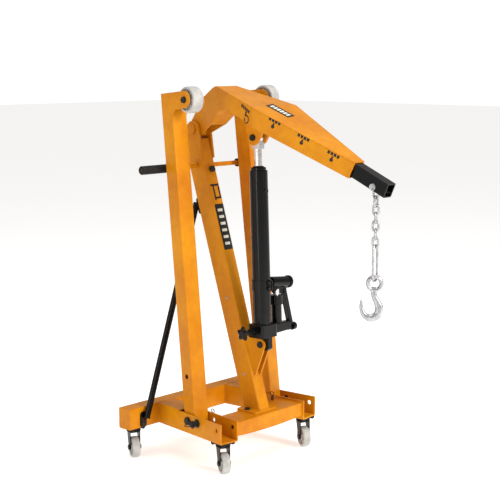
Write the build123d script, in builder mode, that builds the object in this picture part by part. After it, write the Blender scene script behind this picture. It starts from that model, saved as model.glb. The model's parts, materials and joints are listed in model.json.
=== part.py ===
from build123d import *
from math import atan2, cos, degrees, radians, sin, tan
import os

# Engine hoist crane. Millimetres, +X to the front of the crane, +Z up, Z = 0 on the floor.
# The origin is the floor point under the middle of the whole crane.

REAR = -450.4             # X of the rear face of the rear crossbeam
GAP = 0.3                 # clearance kept between moving faces

# Rear crossbeam and side channels
DECK = 110.0              # underside of the beam and of the channels
BEAM_DEPTH = 58.0
BEAM_TOP = 184.0
BEAM_HALF = 340.5
WALL = 4.0
CORNER = 4.0              # outside radius of bent and sawn steel edges
DRAIN_Y = 150.0
DRAIN_RADIUS = 5.0
SPLAY = 6.41              # each side channel turns outwards by this many degrees
CHANNEL_START = 205.75    # Y of a channel's outer face where it leaves the beam
CHANNEL_LENGTH = 347.0
CHANNEL_WIDTH = 76.0
CHANNEL_TOP = 180.0
CHANNEL_WALL = 5.0
COVER_LENGTH = 120.0

# Legs, measured from the pivot along a channel
LEG_ALONG = 170.0
LEG_Z = 155.0
LEG_LEAN = 6.05
LEG_SIZE = 60.0
LEG_INSET = 8.0
LEG_WALL = 3.0
LEG_TIP = 1120.0
LEG_LOCK_HOLE = 153.0
PIVOT_RADIUS = 8.0
PIVOT_HEAD = 12.0
ROLLER_FORWARD = 98.4
ROLLER_UP = 1090.0
ROLLER_RADIUS = 44.0
ROLLER_WIDTH = 44.0
ROLLER_AXLE = 6.0
ROLLER_HEAD = 9.5
LOCK_ALONG = 222.0
LOCK_Z = 158.0
LOCK_RADIUS = 8.0
LOCK_FLANGE = 14.0
LOCK_FLANGE_THICK = 4.0

# Front crossbeam
CROSS_REAR = REAR + 303.0
CROSS_FRONT = REAR + 403.0
CROSS_TOP = 171.0
CROSS_LOW = 128.0
CROSS_BELLY = 118.5

# Mast, leaning back, and the frame that hangs on it
MAST_LEAN = 17.57
MAST_DEPTH = 76.5
MAST_WIDTH = 50.0
MAST_FOOT = (REAR + 380.1, 179.0)      # front lower edge, X and Z
MAST_LENGTH = 974.0
FOOT_PLATE = 8.0
FOOT_BOLTS = ((REAR + 335.0, 42.0), (REAR + 335.0, -42.0))
CHEEK_RADIUS = 30.0
CHEEK_PLATE = 8.0
BOOM_BOLT = 10.0
BOOM_BOLT_HEAD = 15.0
BAR_X = REAR + 77.0
BAR_Z = 1012.0
BAR_HALF = 285.0
BAR_RADIUS = 8.0
GRIP_START = 175.0
GRIP_RADIUS = 15.0
GROOVE_RADIUS = 13.0
GROOVE_PITCH = 20.0
KNOB_DROP = 12.0          # the clamp knob sits this far below the push bar
KNOB_STEM = 5.0
KNOB_RADIUS = 11.5
STRUT_FOOT = (REAR + 73.0, 277.0, 145.0)
STRUT_HEAD = (REAR + 66.0, 18.0, 880.0)
STRUT_RADIUS = 11.0
STRUT_BOLT = (286.0, 121.0)            # Y and Z of the bolt through a strut's foot
TAB_BOLT = (14.0, 4.0)                 # across the mast's rear face and up it
TAB = 6.0

# Boom
BOOM_X = REAR + 62.0
BOOM_Z = 1139.0
ROOT_RADIUS = 25.0
ROOT_HALF = 24.0
NECK_X = REAR + 101.0     # the boom starts to widen here
BOOM_PLATE = 3.0
BOOM_ROOT_HALF = 22.0
BOOM_WIDE_X = REAR + 420.0
BOOM_WIDE_HALF = 109.0
TIP_X = REAR + 771.0
TIP_Z = 1037.5
TIP_HALF = 23.5
TIP_HEIGHT = 55.0
REACH_SLOPE = 23.7        # the extension tube points down by this many degrees
REACH_HEIGHT = 48.0
REACH_WIDTH = 40.0
REACH_INSIDE = 155.0      # length inside the boom
REACH_OUTSIDE = 141.0

# Ram, from its base pin to the pin under the boom
RAM_X = REAR + 371.0
RAM_Z = 411.0
BRACKET_HALF = 10.0       # half the gap between the bracket plates
BRACKET_PLATE = 6.0
LIFT_X = REAR + 344.0
LIFT_Z = 1122.0
LUG_HALF = 15.0           # half the gap between the boom's lugs
LUG_PLATE = 8.0
BASE_PIN = 7.0
LIFT_PIN = 8.0
BLOCK_START = 27.0
ARM_HALF = 14.0
CYLINDER_RADIUS = 31.0
CYLINDER_BORE = 25.0
CYLINDER_START = 73.0
CYLINDER_TOP = 600.0
ROD_RADIUS = 13.5
GLAND_SEAT = 20.0
PLUG_RADIUS = 5.0
FILLER_UP = 532.0
PUMP_Y = 73.0
LINK_FOOT = (140.0, 57.0)              # Y and height of the link's lower pin
LINK_HEAD = (111.0, 173.0)
LINK_PIN = 4.0
PLUNGER_RADIUS = 11.0
PLUNGER_PIN_UP = 177.0
WEB_HALF = 6.0
SOCKET_RADIUS = 19.0
SOCKET_BORE = 16.0
SOCKET_START = 46.0
SOCKET_LENGTH = 95.0
SOCKET_DROOP = 6.0
SOCKET_COLLAR = 9.0
SOCKET_UP = 208.0
VALVE_UP = 52.0
VALVE_STEM = 5.0
PISTON_TOP = 345.0

# Load line
HANG_X = REAR + 849.0
HANG_Z = 990.0
HANG_BOLT = 6.0
HANG_HEAD = 9.5
WIRE = 3.5
PITCH = 26.0
TOP_LINK_HEIGHT = 54.0
SHORT_TURNS = (95, 20, 118, 38, 122, 20)
LONG_TURN = 99.0          # heading of the long link above the hook
LINK_GAP = 0.2            # the links hang this far from touching
HOOK_EYE_Z = 683.5
HOOK_EYE_RADIUS = 28.0
HOOK_EYE_HOLE = 15.0
HOOK_HALF = 6.0
EYE_GAP = 3.4             # the long link hangs this far from touching the eye
FACING = 43.0             # the hook hangs turned by this many degrees

# Casters
CASTER_RADIUS = 37.5
CASTER_WIDTH = 28.0
CASTER_TURN = -27.0
CASTER_TRAIL = 10.0
CASTER_STEM = 6.0
CASTER_HUB = 12.0
CASTER_BOLTS = 48.0
FORK_INSIDE = 16.0
FORK_OUTSIDE = 19.0
REAR_CASTER = (REAR + 22.0, 294.0)
FRONT_CASTER = (REAR + 377.0, 206.5)
CASTERS = {
    "rear_left": REAR_CASTER,
    "rear_right": (REAR_CASTER[0], -REAR_CASTER[1]),
    "front_left": FRONT_CASTER,
    "front_right": (FRONT_CASTER[0], -FRONT_CASTER[1]),
}

RUN = 0.05                # radial clearance of a pin that turns

os.makedirs("parts", exist_ok=True)


def save(builder, name):
    builder.part.label = name
    export_step(builder.part, f"parts/{name}.step")


def upright(x, y, z, heading, lean=0.0):
    """A vertical plane: local x runs along the heading, local y up and back by the lean."""
    turn = radians(heading)
    tilt = radians(lean)
    forward = (cos(turn) * cos(tilt), sin(turn) * cos(tilt), sin(tilt))
    return Plane(origin=(x, y, z), x_dir=forward, z_dir=(sin(turn), -cos(turn), 0))


def across(x, z, y=0.0):
    """A vertical plane whose local z runs along +Y, for shafts that lie crosswise."""
    return Plane(origin=(x, y, z), x_dir=(1, 0, 0), z_dir=(0, 1, 0))


def channel_point(along, inset):
    """Plan position in the left side channel: along it, and in from its outer face."""
    turn = radians(SPLAY)
    x = REAR + BEAM_DEPTH + along * cos(turn) + inset * sin(turn)
    y = CHANNEL_START + along * sin(turn) - inset * cos(turn)
    return (x, y)


def channel_inner_y(x):
    """Y of the left channel's inner face at an X."""
    start_x, start_y = channel_point(0, CHANNEL_WIDTH)
    return start_y + (x - start_x) * tan(radians(SPLAY))


def channel_plane(inset, along=0.0, z=0.0, lean=0.0):
    """Upright plane along the left channel; its normal points inwards."""
    x, y = channel_point(along, inset)
    return upright(x, y, z, SPLAY, lean)


def channel_strip(start, end, near, far):
    """Plan corners of a strip of the channel that starts at the beam's front face."""
    slope = tan(radians(SPLAY))
    return [
        channel_point(start - near * slope, near),
        channel_point(end, near),
        channel_point(end, far),
        channel_point(start - far * slope, far),
    ]


def mast_plane(y=0.0):
    """Upright plane on the mast's front lower edge; local y runs up the mast."""
    return upright(MAST_FOOT[0], y, MAST_FOOT[1], 0, MAST_LEAN)


def mast_x(z, back=0.0):
    """X of the mast's front face at a height, or of a plane that far behind it."""
    return MAST_FOOT[0] - (z - MAST_FOOT[1]) * tan(radians(MAST_LEAN)) - back / cos(radians(MAST_LEAN))


def mast_up(z):
    """Distance up the mast's front face to a height."""
    return (z - MAST_FOOT[1]) / cos(radians(MAST_LEAN))


def leg_plane(inset):
    """Plane of the left leg: origin at its pivot, local y up the leg, normal inwards."""
    return channel_plane(inset, LEG_ALONG, LEG_Z, LEG_LEAN)


def hexagon(radius):
    RegularPolygon(radius=radius, side_count=6, major_radius=False)


# ---------------------------------------------------------------- base frame

beam_x = REAR + BEAM_DEPTH / 2
beam_z = (DECK + BEAM_TOP) / 2

with BuildPart() as rear_crossbeam:
    with BuildSketch(Plane.XZ.offset(-BEAM_HALF)):
        with Locations((beam_x, beam_z)):
            Rectangle(BEAM_DEPTH, BEAM_TOP - DECK)
    extrude(amount=2 * BEAM_HALF)
    fillet(rear_crossbeam.edges().filter_by(Axis.Y), CORNER)
    with BuildSketch(Plane.XZ.offset(-BEAM_HALF + WALL)):
        with Locations((beam_x, beam_z)):
            Rectangle(BEAM_DEPTH - 2 * WALL, BEAM_TOP - DECK - 2 * WALL)
    extrude(amount=2 * (BEAM_HALF - WALL), mode=Mode.SUBTRACT)
    with BuildSketch(Plane.XY.offset(DECK - 1)):
        with Locations((beam_x, -DRAIN_Y), (beam_x, DRAIN_Y)):
            Circle(DRAIN_RADIUS)
    extrude(amount=WALL + 2, mode=Mode.SUBTRACT)
save(rear_crossbeam, "rear_crossbeam")

with BuildPart() as side_channel_left:
    with BuildSketch(Plane.XY.offset(DECK)):
        Polygon(*channel_strip(0, CHANNEL_LENGTH, 0, CHANNEL_WIDTH), align=None)
    extrude(amount=CHANNEL_TOP - DECK)
    bottom_edges = side_channel_left.edges().group_by(Axis.Z)[0].sort_by(SortBy.LENGTH)[-2:]
    fillet(bottom_edges, CORNER)
    with BuildSketch(Plane.XY.offset(DECK + CHANNEL_WALL)):
        Polygon(
            *channel_strip(-1, CHANNEL_LENGTH + 1, CHANNEL_WALL, CHANNEL_WIDTH - CHANNEL_WALL),
            align=None,
        )
    extrude(amount=CHANNEL_TOP - DECK, mode=Mode.SUBTRACT)
    with BuildSketch(channel_plane(-1)):
        with Locations((LEG_ALONG, LEG_Z)):
            Circle(PIVOT_RADIUS)
        with Locations((LOCK_ALONG, LOCK_Z), (LEG_ALONG + LEG_LOCK_HOLE, LEG_Z)):
            Circle(LOCK_RADIUS + RUN)
    extrude(amount=CHANNEL_WIDTH + 2, mode=Mode.SUBTRACT)
save(side_channel_left, "side_channel_left")

with BuildPart() as side_channel_right:
    mirror(side_channel_left.part, about=Plane.XZ)
save(side_channel_right, "side_channel_right")

with BuildPart() as channel_covers:
    with BuildSketch(Plane.XY.offset(CHANNEL_TOP)):
        Polygon(*channel_strip(0, COVER_LENGTH, 0, CHANNEL_WIDTH), align=None)
    extrude(amount=BEAM_TOP - CHANNEL_TOP)
    mirror(about=Plane.XZ)
save(channel_covers, "channel_covers")


def cross_outline(inset):
    """Front view of the crossbeam, shrunk by an inset; it runs past both channels."""
    half = CHANNEL_START
    with BuildSketch(Plane.YZ.offset(CROSS_REAR + inset)) as outline:
        with BuildLine():
            Polyline((-half, CROSS_LOW + inset), (-half, CROSS_TOP - inset), (half, CROSS_TOP - inset),
                     (half, CROSS_LOW + inset))
            ThreePointArc((-half, CROSS_LOW + inset), (0, CROSS_BELLY + inset), (half, CROSS_LOW + inset))
        make_face()
    return outline.sketch


with BuildPart() as front_crossbeam:
    extrude(cross_outline(0), amount=CROSS_FRONT - CROSS_REAR)
    fillet(front_crossbeam.edges().filter_by(Axis.Y).group_by(Axis.Z)[-1], 3)
    extrude(cross_outline(WALL), amount=CROSS_FRONT - CROSS_REAR - 2 * WALL, mode=Mode.SUBTRACT)
    half_rear = channel_inner_y(CROSS_REAR)
    half_front = channel_inner_y(CROSS_FRONT)
    with BuildSketch(Plane.XY.offset(DECK)):
        Polygon(
            (CROSS_REAR, -half_rear),
            (CROSS_FRONT, -half_front),
            (CROSS_FRONT, half_front),
            (CROSS_REAR, half_rear),
            align=None,
        )
    extrude(amount=CROSS_TOP - DECK, mode=Mode.INTERSECT)
save(front_crossbeam, "front_crossbeam")

# ---------------------------------------------------------------- mast

knob_base = mast_plane().from_local_coords((0, mast_up(BAR_Z) - KNOB_DROP, 0))
knob_plane = Plane(knob_base, z_dir=mast_plane().x_dir)

with BuildPart() as mast_post:
    with BuildSketch(mast_plane(-MAST_WIDTH / 2)):
        with BuildLine():
            Polyline((0, 0), (0, MAST_LENGTH), (-MAST_DEPTH, MAST_LENGTH), (-MAST_DEPTH, -60), (0, 0))
        make_face()
    extrude(amount=-MAST_WIDTH)
    fillet(mast_post.edges().filter_by(lambda edge: edge.length > 0.9 * MAST_LENGTH), 5)
    with BuildSketch(mast_plane(-MAST_WIDTH / 2 + WALL)):
        with BuildLine():
            Polyline((-WALL, -60), (-WALL, MAST_LENGTH - WALL), (WALL - MAST_DEPTH, MAST_LENGTH - WALL),
                     (WALL - MAST_DEPTH, -60), (-WALL, -60))
        make_face()
    extrude(amount=-(MAST_WIDTH - 2 * WALL), mode=Mode.SUBTRACT)
    split(bisect_by=Plane.XY.offset(MAST_FOOT[1]), keep=Keep.TOP)
    with BuildSketch(across(BAR_X, BAR_Z, -MAST_WIDTH)):
        Circle(BAR_RADIUS)
    extrude(amount=2 * MAST_WIDTH, mode=Mode.SUBTRACT)
    with BuildSketch(knob_plane.offset(-WALL - 1)):
        Circle(KNOB_STEM + RUN)
    extrude(amount=WALL + 2, mode=Mode.SUBTRACT)
save(mast_post, "mast_post")

with BuildPart() as mast_foot_plate:
    with BuildSketch(Plane.XY.offset(CROSS_TOP)):
        with Locations((mast_x(MAST_FOOT[1], MAST_DEPTH / 2), 0)):
            RectangleRounded(90, 112, 8)
        with Locations(*FOOT_BOLTS):
            Circle(6, mode=Mode.SUBTRACT)
    extrude(amount=FOOT_PLATE)
    chamfer(mast_foot_plate.edges().group_by(Axis.Z)[-1], 1)
save(mast_foot_plate, "mast_foot_plate")


def cheek(side):
    """Plate on one side of the mast's top that carries the boom's pivot bolt."""
    with BuildSketch(Plane.XZ.offset(-side * MAST_WIDTH / 2)) as plate:
        with Locations((BOOM_X, BOOM_Z)):
            Circle(CHEEK_RADIUS)
        Polygon(
            (mast_x(1040, MAST_DEPTH), 1040),
            (mast_x(1040) - 1, 1040),
            (REAR + 98, 1066),
            (mast_x(1085, MAST_DEPTH), 1085),
            align=None,
        )
        make_hull()
        with Locations((BOOM_X, BOOM_Z)):
            Circle(BOOM_BOLT + RUN, mode=Mode.SUBTRACT)
    extrude(plate.sketch, amount=-side * CHEEK_PLATE)


with BuildPart() as mast_cheeks:
    cheek(-1)
    cheek(1)
save(mast_cheeks, "mast_cheeks")


def bracket(side):
    """Plate on the mast's front face that holds one end of the ram's base pin."""
    with BuildSketch(Plane.XZ.offset(-side * BRACKET_HALF)) as plate:
        with Locations((RAM_X, RAM_Z)):
            Circle(21)
        Polygon((mast_x(290), 290), (mast_x(432), 432), (RAM_X, RAM_Z), align=None)
        make_hull()
        with Locations((RAM_X, RAM_Z)):
            Circle(BASE_PIN + RUN, mode=Mode.SUBTRACT)
    extrude(plate.sketch, amount=-side * BRACKET_PLATE)


with BuildPart() as ram_bracket:
    bracket(-1)
    bracket(1)
save(ram_bracket, "ram_bracket")

strut_foot = Vector(*STRUT_FOOT)
strut_head = Vector(*STRUT_HEAD)
strut_axis = Plane(strut_foot, z_dir=strut_head - strut_foot)
strut_length = (strut_head - strut_foot).length
rear_face = mast_plane().from_local_coords((-MAST_DEPTH, mast_up(STRUT_HEAD[2]), 0))
tab_plane = Plane(rear_face, x_dir=(0, 1, 0), z_dir=-mast_plane().x_dir)

with BuildPart() as brace_struts:
    with BuildSketch(strut_axis):
        Circle(STRUT_RADIUS)
    extrude(amount=strut_length)
    with BuildSketch(Plane.YZ.offset(REAR + BEAM_DEPTH)):
        with Locations((STRUT_FOOT[1] + 5, STRUT_FOOT[2] - 6)):
            SlotOverall(58, 26, rotation=90)
        with Locations(STRUT_BOLT):
            Circle(5, mode=Mode.SUBTRACT)
    extrude(amount=TAB)
    with BuildSketch(tab_plane):
        with Locations((TAB_BOLT[0], TAB_BOLT[1] - 18)):
            SlotOverall(60, 20, rotation=90)
        with Locations(TAB_BOLT):
            Circle(4, mode=Mode.SUBTRACT)
    extrude(amount=TAB)
    mirror(about=Plane.XZ)
save(brace_struts, "brace_struts")

with BuildPart() as push_bar:
    with BuildSketch(across(BAR_X, BAR_Z, -BAR_HALF)):
        Circle(BAR_RADIUS)
    extrude(amount=2 * BAR_HALF)
save(push_bar, "push_bar")

with BuildPart() as push_grips:
    with BuildSketch(across(BAR_X, BAR_Z, GRIP_START)):
        Circle(GRIP_RADIUS)
    extrude(amount=BAR_HALF - GRIP_START + 4)
    for groove in range(5):
        with BuildSketch(across(BAR_X, BAR_Z, GRIP_START + 12 + GROOVE_PITCH * groove)):
            Circle(GRIP_RADIUS)
            Circle(GROOVE_RADIUS, mode=Mode.SUBTRACT)
        extrude(amount=6, mode=Mode.SUBTRACT)
    with BuildSketch(across(BAR_X, BAR_Z, GRIP_START)):
        Circle(BAR_RADIUS)
    extrude(amount=BAR_HALF - GRIP_START, mode=Mode.SUBTRACT)
    fillet(push_grips.edges().filter_by(GeomType.CIRCLE).group_by(Axis.Y)[-1], 4)
    mirror(about=Plane.XZ)
save(push_grips, "push_grips")

with BuildPart() as mast_knob:
    with BuildSketch(knob_plane.offset(-16)):
        Circle(KNOB_STEM)
    extrude(amount=20)
    with BuildSketch(knob_plane.offset(GAP)):
        Circle(7)
    extrude(amount=5)
    with BuildSketch(knob_plane.offset(4)):
        Circle(KNOB_RADIUS)
        with PolarLocations(KNOB_RADIUS + 1, 8):
            Circle(1.8, mode=Mode.SUBTRACT)
    extrude(amount=10)
    fillet(mast_knob.faces().sort_by(Axis((0, 0, 0), tuple(mast_plane().x_dir)))[-1].edges(), 1.2)
save(mast_knob, "mast_knob")


def bolt_across(x, z, y, radius, length, head, side):
    """A crosswise bolt: shank from the face at y inwards, hexagon head outside it."""
    with BuildSketch(across(x, z, y)) as shank:
        Circle(radius)
    extrude(shank.sketch, amount=-side * length)
    with BuildSketch(across(x, z, y)) as cap:
        hexagon(head)
    extrude(cap.sketch, amount=side * radius * 0.8)


with BuildPart() as boom_pivot_bolt:
    outside = MAST_WIDTH / 2 + CHEEK_PLATE
    bolt_across(BOOM_X, BOOM_Z, -outside, BOOM_BOLT, 2 * outside, BOOM_BOLT_HEAD, -1)
    with BuildSketch(across(BOOM_X, BOOM_Z, outside)):
        hexagon(BOOM_BOLT_HEAD)
    extrude(amount=14)
    with BuildSketch(across(BOOM_X, BOOM_Z, outside + 14)):
        Circle(BOOM_BOLT)
    extrude(amount=3)
save(boom_pivot_bolt, "boom_pivot_bolt")

with BuildPart() as ram_base_pin:
    outside = BRACKET_HALF + BRACKET_PLATE
    bolt_across(RAM_X, RAM_Z, -outside, BASE_PIN, 2 * outside + 8, 10, -1)
    with BuildSketch(across(RAM_X, RAM_Z, outside)):
        hexagon(10)
    extrude(amount=7)
save(ram_base_pin, "ram_base_pin")

with BuildPart() as frame_bolts:
    with BuildSketch(Plane.XY.offset(CROSS_TOP + FOOT_PLATE)):
        with Locations(*FOOT_BOLTS):
            hexagon(8.5)
    extrude(amount=6)
    for side in (-1, 1):
        with BuildSketch(Plane.YZ.offset(REAR + BEAM_DEPTH + TAB)):
            with Locations((side * STRUT_BOLT[0], STRUT_BOLT[1])):
                hexagon(7.5)
        extrude(amount=5)
        with BuildSketch(tab_plane.offset(TAB)):
            with Locations((side * TAB_BOLT[0], TAB_BOLT[1])):
                hexagon(6.5)
        extrude(amount=5)
    for x, y in CASTERS.values():
        with BuildSketch(Plane.XY.offset(DECK - 9)):
            with Locations((x, y)):
                with GridLocations(CASTER_BOLTS, CASTER_BOLTS, 2, 2):
                    hexagon(5)
        extrude(amount=5)
save(frame_bolts, "frame_bolts")

with BuildPart() as leg_pivot_bolts:
    with BuildSketch(channel_plane(0, LEG_ALONG, LEG_Z)):
        Circle(PIVOT_RADIUS)
    extrude(amount=CHANNEL_WIDTH + 16)
    with BuildSketch(channel_plane(0, LEG_ALONG, LEG_Z)):
        hexagon(PIVOT_HEAD)
    extrude(amount=-9)
    with BuildSketch(channel_plane(CHANNEL_WIDTH, LEG_ALONG, LEG_Z)):
        hexagon(PIVOT_HEAD)
    extrude(amount=12)
    mirror(about=Plane.XZ)
save(leg_pivot_bolts, "leg_pivot_bolts")

with BuildPart() as lock_clips:
    with BuildSketch(channel_plane(CHANNEL_WIDTH)):
        with Locations((LOCK_ALONG - 12, CHANNEL_TOP + 2)):
            Circle(11)
            Circle(8.5, mode=Mode.SUBTRACT)
        with Locations((LOCK_ALONG - 12, CHANNEL_TOP - 15)):
            Rectangle(2.5, 16)
    extrude(amount=2.5)
    mirror(about=Plane.XZ)
save(lock_clips, "lock_clips")

# ---------------------------------------------------------------- legs


def leg_outline():
    """Side view of a leg: a straight tube, round at the pivot, with a nose for the roller."""
    half = LEG_SIZE / 2
    nose_low = (ROLLER_FORWARD, ROLLER_UP - 28)
    with BuildSketch(leg_plane(LEG_INSET)) as outline:
        Circle(half)
        with Locations((0, LEG_TIP / 2)):
            Rectangle(LEG_SIZE, LEG_TIP)
        with BuildLine():
            Polyline(
                (ROLLER_FORWARD, LEG_TIP),
                (half - 1, LEG_TIP),
                (half - 1, LEG_TIP - 74),
                (half + 14, LEG_TIP - 58),
                nose_low,
            )
            ThreePointArc(nose_low, (ROLLER_FORWARD + 29, ROLLER_UP + 1), (ROLLER_FORWARD, LEG_TIP))
        make_face()
    return outline.sketch


with BuildPart() as leg_left:
    extrude(leg_outline(), amount=LEG_SIZE)
    fillet(leg_left.edges().filter_by(lambda edge: edge.length > 0.8 * LEG_TIP), CORNER)
    with BuildSketch(leg_plane(LEG_INSET + LEG_WALL)):
        with Locations((0, LEG_TIP / 2 - 40)):
            Rectangle(LEG_SIZE - 2 * LEG_WALL, LEG_TIP + 80 - 2 * LEG_WALL)
        with Locations((LEG_SIZE / 2 + 60, LEG_TIP - 40)):
            Rectangle(120, 90)
    extrude(amount=LEG_SIZE - 2 * LEG_WALL, mode=Mode.SUBTRACT)
    with BuildSketch(leg_plane(LEG_INSET - 1)):
        Circle(PIVOT_RADIUS + RUN)
        with Locations((0, LEG_LOCK_HOLE)):
            Circle(LOCK_RADIUS + 0.5)
        with Locations((ROLLER_FORWARD, ROLLER_UP)):
            Circle(ROLLER_AXLE)
    extrude(amount=LEG_SIZE + 2, mode=Mode.SUBTRACT)
save(leg_left, "leg_left")

with BuildPart() as leg_right:
    mirror(leg_left.part, about=Plane.XZ)
save(leg_right, "leg_right")

roller_inset = LEG_INSET + LEG_SIZE / 2
tip_plane = leg_plane(LEG_INSET)
roller_plane = leg_plane(roller_inset - ROLLER_WIDTH / 2)

with BuildPart() as roller_axle_left:
    with BuildSketch(tip_plane):
        with Locations((ROLLER_FORWARD, ROLLER_UP)):
            Circle(ROLLER_AXLE)
    extrude(amount=LEG_SIZE + 9)
    with BuildSketch(tip_plane):
        with Locations((ROLLER_FORWARD, ROLLER_UP)):
            hexagon(ROLLER_HEAD)
    extrude(amount=-7)
    with BuildSketch(tip_plane.offset(LEG_SIZE)):
        with Locations((ROLLER_FORWARD, ROLLER_UP)):
            hexagon(ROLLER_HEAD)
    extrude(amount=6)
save(roller_axle_left, "roller_axle_left")

with BuildPart() as roller_axle_right:
    mirror(roller_axle_left.part, about=Plane.XZ)
save(roller_axle_right, "roller_axle_right")

with BuildPart() as leg_roller_left:
    with BuildSketch(roller_plane):
        with Locations((ROLLER_FORWARD, ROLLER_UP)):
            Circle(ROLLER_RADIUS)
    extrude(amount=ROLLER_WIDTH)
    fillet(leg_roller_left.edges(), 4)
    for face_plane, inwards in ((roller_plane, 1), (roller_plane.offset(ROLLER_WIDTH), -1)):
        with BuildSketch(face_plane):
            with Locations((ROLLER_FORWARD, ROLLER_UP)):
                Circle(ROLLER_RADIUS - 9)
                Circle(14, mode=Mode.SUBTRACT)
        extrude(amount=inwards * 6, mode=Mode.SUBTRACT)
    with BuildSketch(roller_plane):
        with Locations((ROLLER_FORWARD, ROLLER_UP)):
            Circle(ROLLER_AXLE + RUN)
    extrude(amount=ROLLER_WIDTH, mode=Mode.SUBTRACT)
save(leg_roller_left, "leg_roller_left")

with BuildPart() as leg_roller_right:
    mirror(leg_roller_left.part, about=Plane.XZ)
save(leg_roller_right, "leg_roller_right")

lock_plane = channel_plane(0, LOCK_ALONG, LOCK_Z)
ring_centre = lock_plane.from_local_coords((0, 0, -42))
ring_plane = Plane(ring_centre, x_dir=lock_plane.z_dir, z_dir=(0, 0, 1))

with BuildPart() as lock_pin_left:
    with BuildSketch(lock_plane.offset(CHANNEL_WALL)):
        Circle(LOCK_RADIUS)
    extrude(amount=-CHANNEL_WALL - 30)
    for inset in (-GAP, -20):
        with BuildSketch(lock_plane.offset(inset)):
            Circle(LOCK_FLANGE)
        extrude(amount=-LOCK_FLANGE_THICK)
    with BuildSketch(ring_plane):
        Circle(14)
        Circle(10.5, mode=Mode.SUBTRACT)
    extrude(amount=2, both=True)
save(lock_pin_left, "lock_pin_left")

with BuildPart() as lock_pin_right:
    mirror(lock_pin_left.part, about=Plane.XZ)
save(lock_pin_right, "lock_pin_right")

# ---------------------------------------------------------------- boom

tip_up = Vector(sin(radians(REACH_SLOPE)), 0, cos(radians(REACH_SLOPE)))
tip_top = (TIP_X + tip_up.X * TIP_HEIGHT / 2, TIP_Z + tip_up.Z * TIP_HEIGHT / 2)
tip_low = (TIP_X - tip_up.X * TIP_HEIGHT / 2, TIP_Z - tip_up.Z * TIP_HEIGHT / 2)
top_edge = [
    (NECK_X, 1247),
    (REAR + 175, 1286),
    (REAR + 196, 1291.5),
    (BOOM_WIDE_X, 1228),
    tip_top,
]
low_edge = [
    tip_low,
    (REAR + 415, 1165),
    (REAR + 348, 1190),
    (REAR + 260, 1212),
    (REAR + 222, 1212),
    (REAR + 195, 1195),
    (REAR + 157, 1158),
    (BOOM_X + 14, BOOM_Z - 27),
]


def boom_half(x):
    """Half width of the boom, over its side plates, at an X."""
    if x < NECK_X:
        return BOOM_ROOT_HALF
    if x < BOOM_WIDE_X:
        share = (x - NECK_X) / (BOOM_WIDE_X - NECK_X)
        return BOOM_ROOT_HALF + share * (BOOM_WIDE_HALF - BOOM_ROOT_HALF)
    share = (x - BOOM_WIDE_X) / (tip_top[0] - BOOM_WIDE_X)
    return BOOM_WIDE_HALF + share * (TIP_HALF - BOOM_WIDE_HALF)


def boom_plan(inset):
    """Plan corners of one half of the boom, from the root to past the tip."""
    stations = [BOOM_X - 40, NECK_X, BOOM_WIDE_X, tip_top[0]]
    return [(x, boom_half(x) - inset) for x in stations]


with BuildPart() as boom_sides:
    with BuildSketch(Plane.XY.offset(BOOM_Z - 200)):
        outer = boom_plan(0)
        inner = boom_plan(BOOM_PLATE)
        Polygon(*outer, *reversed(inner), align=None)
    extrude(amount=500)
    with BuildSketch(Plane.XZ):
        Polygon(*top_edge, *low_edge, (BOOM_X - 27, BOOM_Z + 12), align=None)
        with Locations((BOOM_X, BOOM_Z)):
            Circle(CHEEK_RADIUS)
            Circle(ROOT_RADIUS, mode=Mode.SUBTRACT)
    extrude(amount=-BOOM_WIDE_HALF - 1, mode=Mode.INTERSECT)
    mirror(about=Plane.XZ)
save(boom_sides, "boom_sides")


def boom_inside():
    """Plan of the space between the side plates, well under the boom."""
    half = boom_plan(BOOM_PLATE)
    other = [(x, -y) for x, y in half]
    with BuildSketch(Plane.XY.offset(BOOM_Z - 200)) as plan:
        Polygon(*half, *reversed(other), align=None)
    return plan.sketch


def boom_strip(edge, inward):
    """A sheet that follows an edge of the boom's side view, between its side plates."""
    with BuildSketch(Plane.XZ.offset(-BOOM_WIDE_HALF)) as sheet:
        with BuildLine():
            Polyline(*edge)
            offset(amount=BOOM_PLATE, side=inward)
        make_face()
    extrude(sheet.sketch, amount=2 * BOOM_WIDE_HALF)
    extrude(boom_inside(), amount=500, mode=Mode.INTERSECT)


with BuildPart() as boom_top_plate:
    boom_strip(top_edge, Side.RIGHT)
save(boom_top_plate, "boom_top_plate")

with BuildPart() as boom_underside:
    boom_strip(low_edge[:-1], Side.RIGHT)
save(boom_underside, "boom_underside")

with BuildPart() as boom_root_tube:
    with BuildSketch(across(BOOM_X, BOOM_Z, -ROOT_HALF)):
        Circle(ROOT_RADIUS)
        Circle(BOOM_BOLT + RUN, mode=Mode.SUBTRACT)
    extrude(amount=2 * ROOT_HALF)
save(boom_root_tube, "boom_root_tube")


def lug(side):
    """Plate welded under the boom that holds one side of the rod's top end."""
    below = [(tip_low[0], tip_low[1] - 400), (NECK_X, 900)]
    above = [(REAR + 157, 1400), (tip_low[0], 1400)]
    with BuildSketch(Plane.XZ.offset(-side * LUG_HALF)) as plate:
        Polygon(
            (REAR + 300, 1280),
            (REAR + 300, 1195),
            (LIFT_X - 20, LIFT_Z - 18),
            (LIFT_X + 20, LIFT_Z - 18),
            (REAR + 410, 1175),
            (REAR + 410, 1280),
            align=None,
        )
        with Locations((LIFT_X, LIFT_Z)):
            Circle(26)
        Polygon(*top_edge, *below, align=None, mode=Mode.INTERSECT)
        Polygon(*low_edge[:-1], *above, align=None, mode=Mode.SUBTRACT)
        with Locations((LIFT_X, LIFT_Z)):
            Circle(LIFT_PIN, mode=Mode.SUBTRACT)
    extrude(plate.sketch, amount=-side * LUG_PLATE)


with BuildPart() as ram_top_lugs:
    lug(-1)
    lug(1)
save(ram_top_lugs, "ram_top_lugs")

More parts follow.
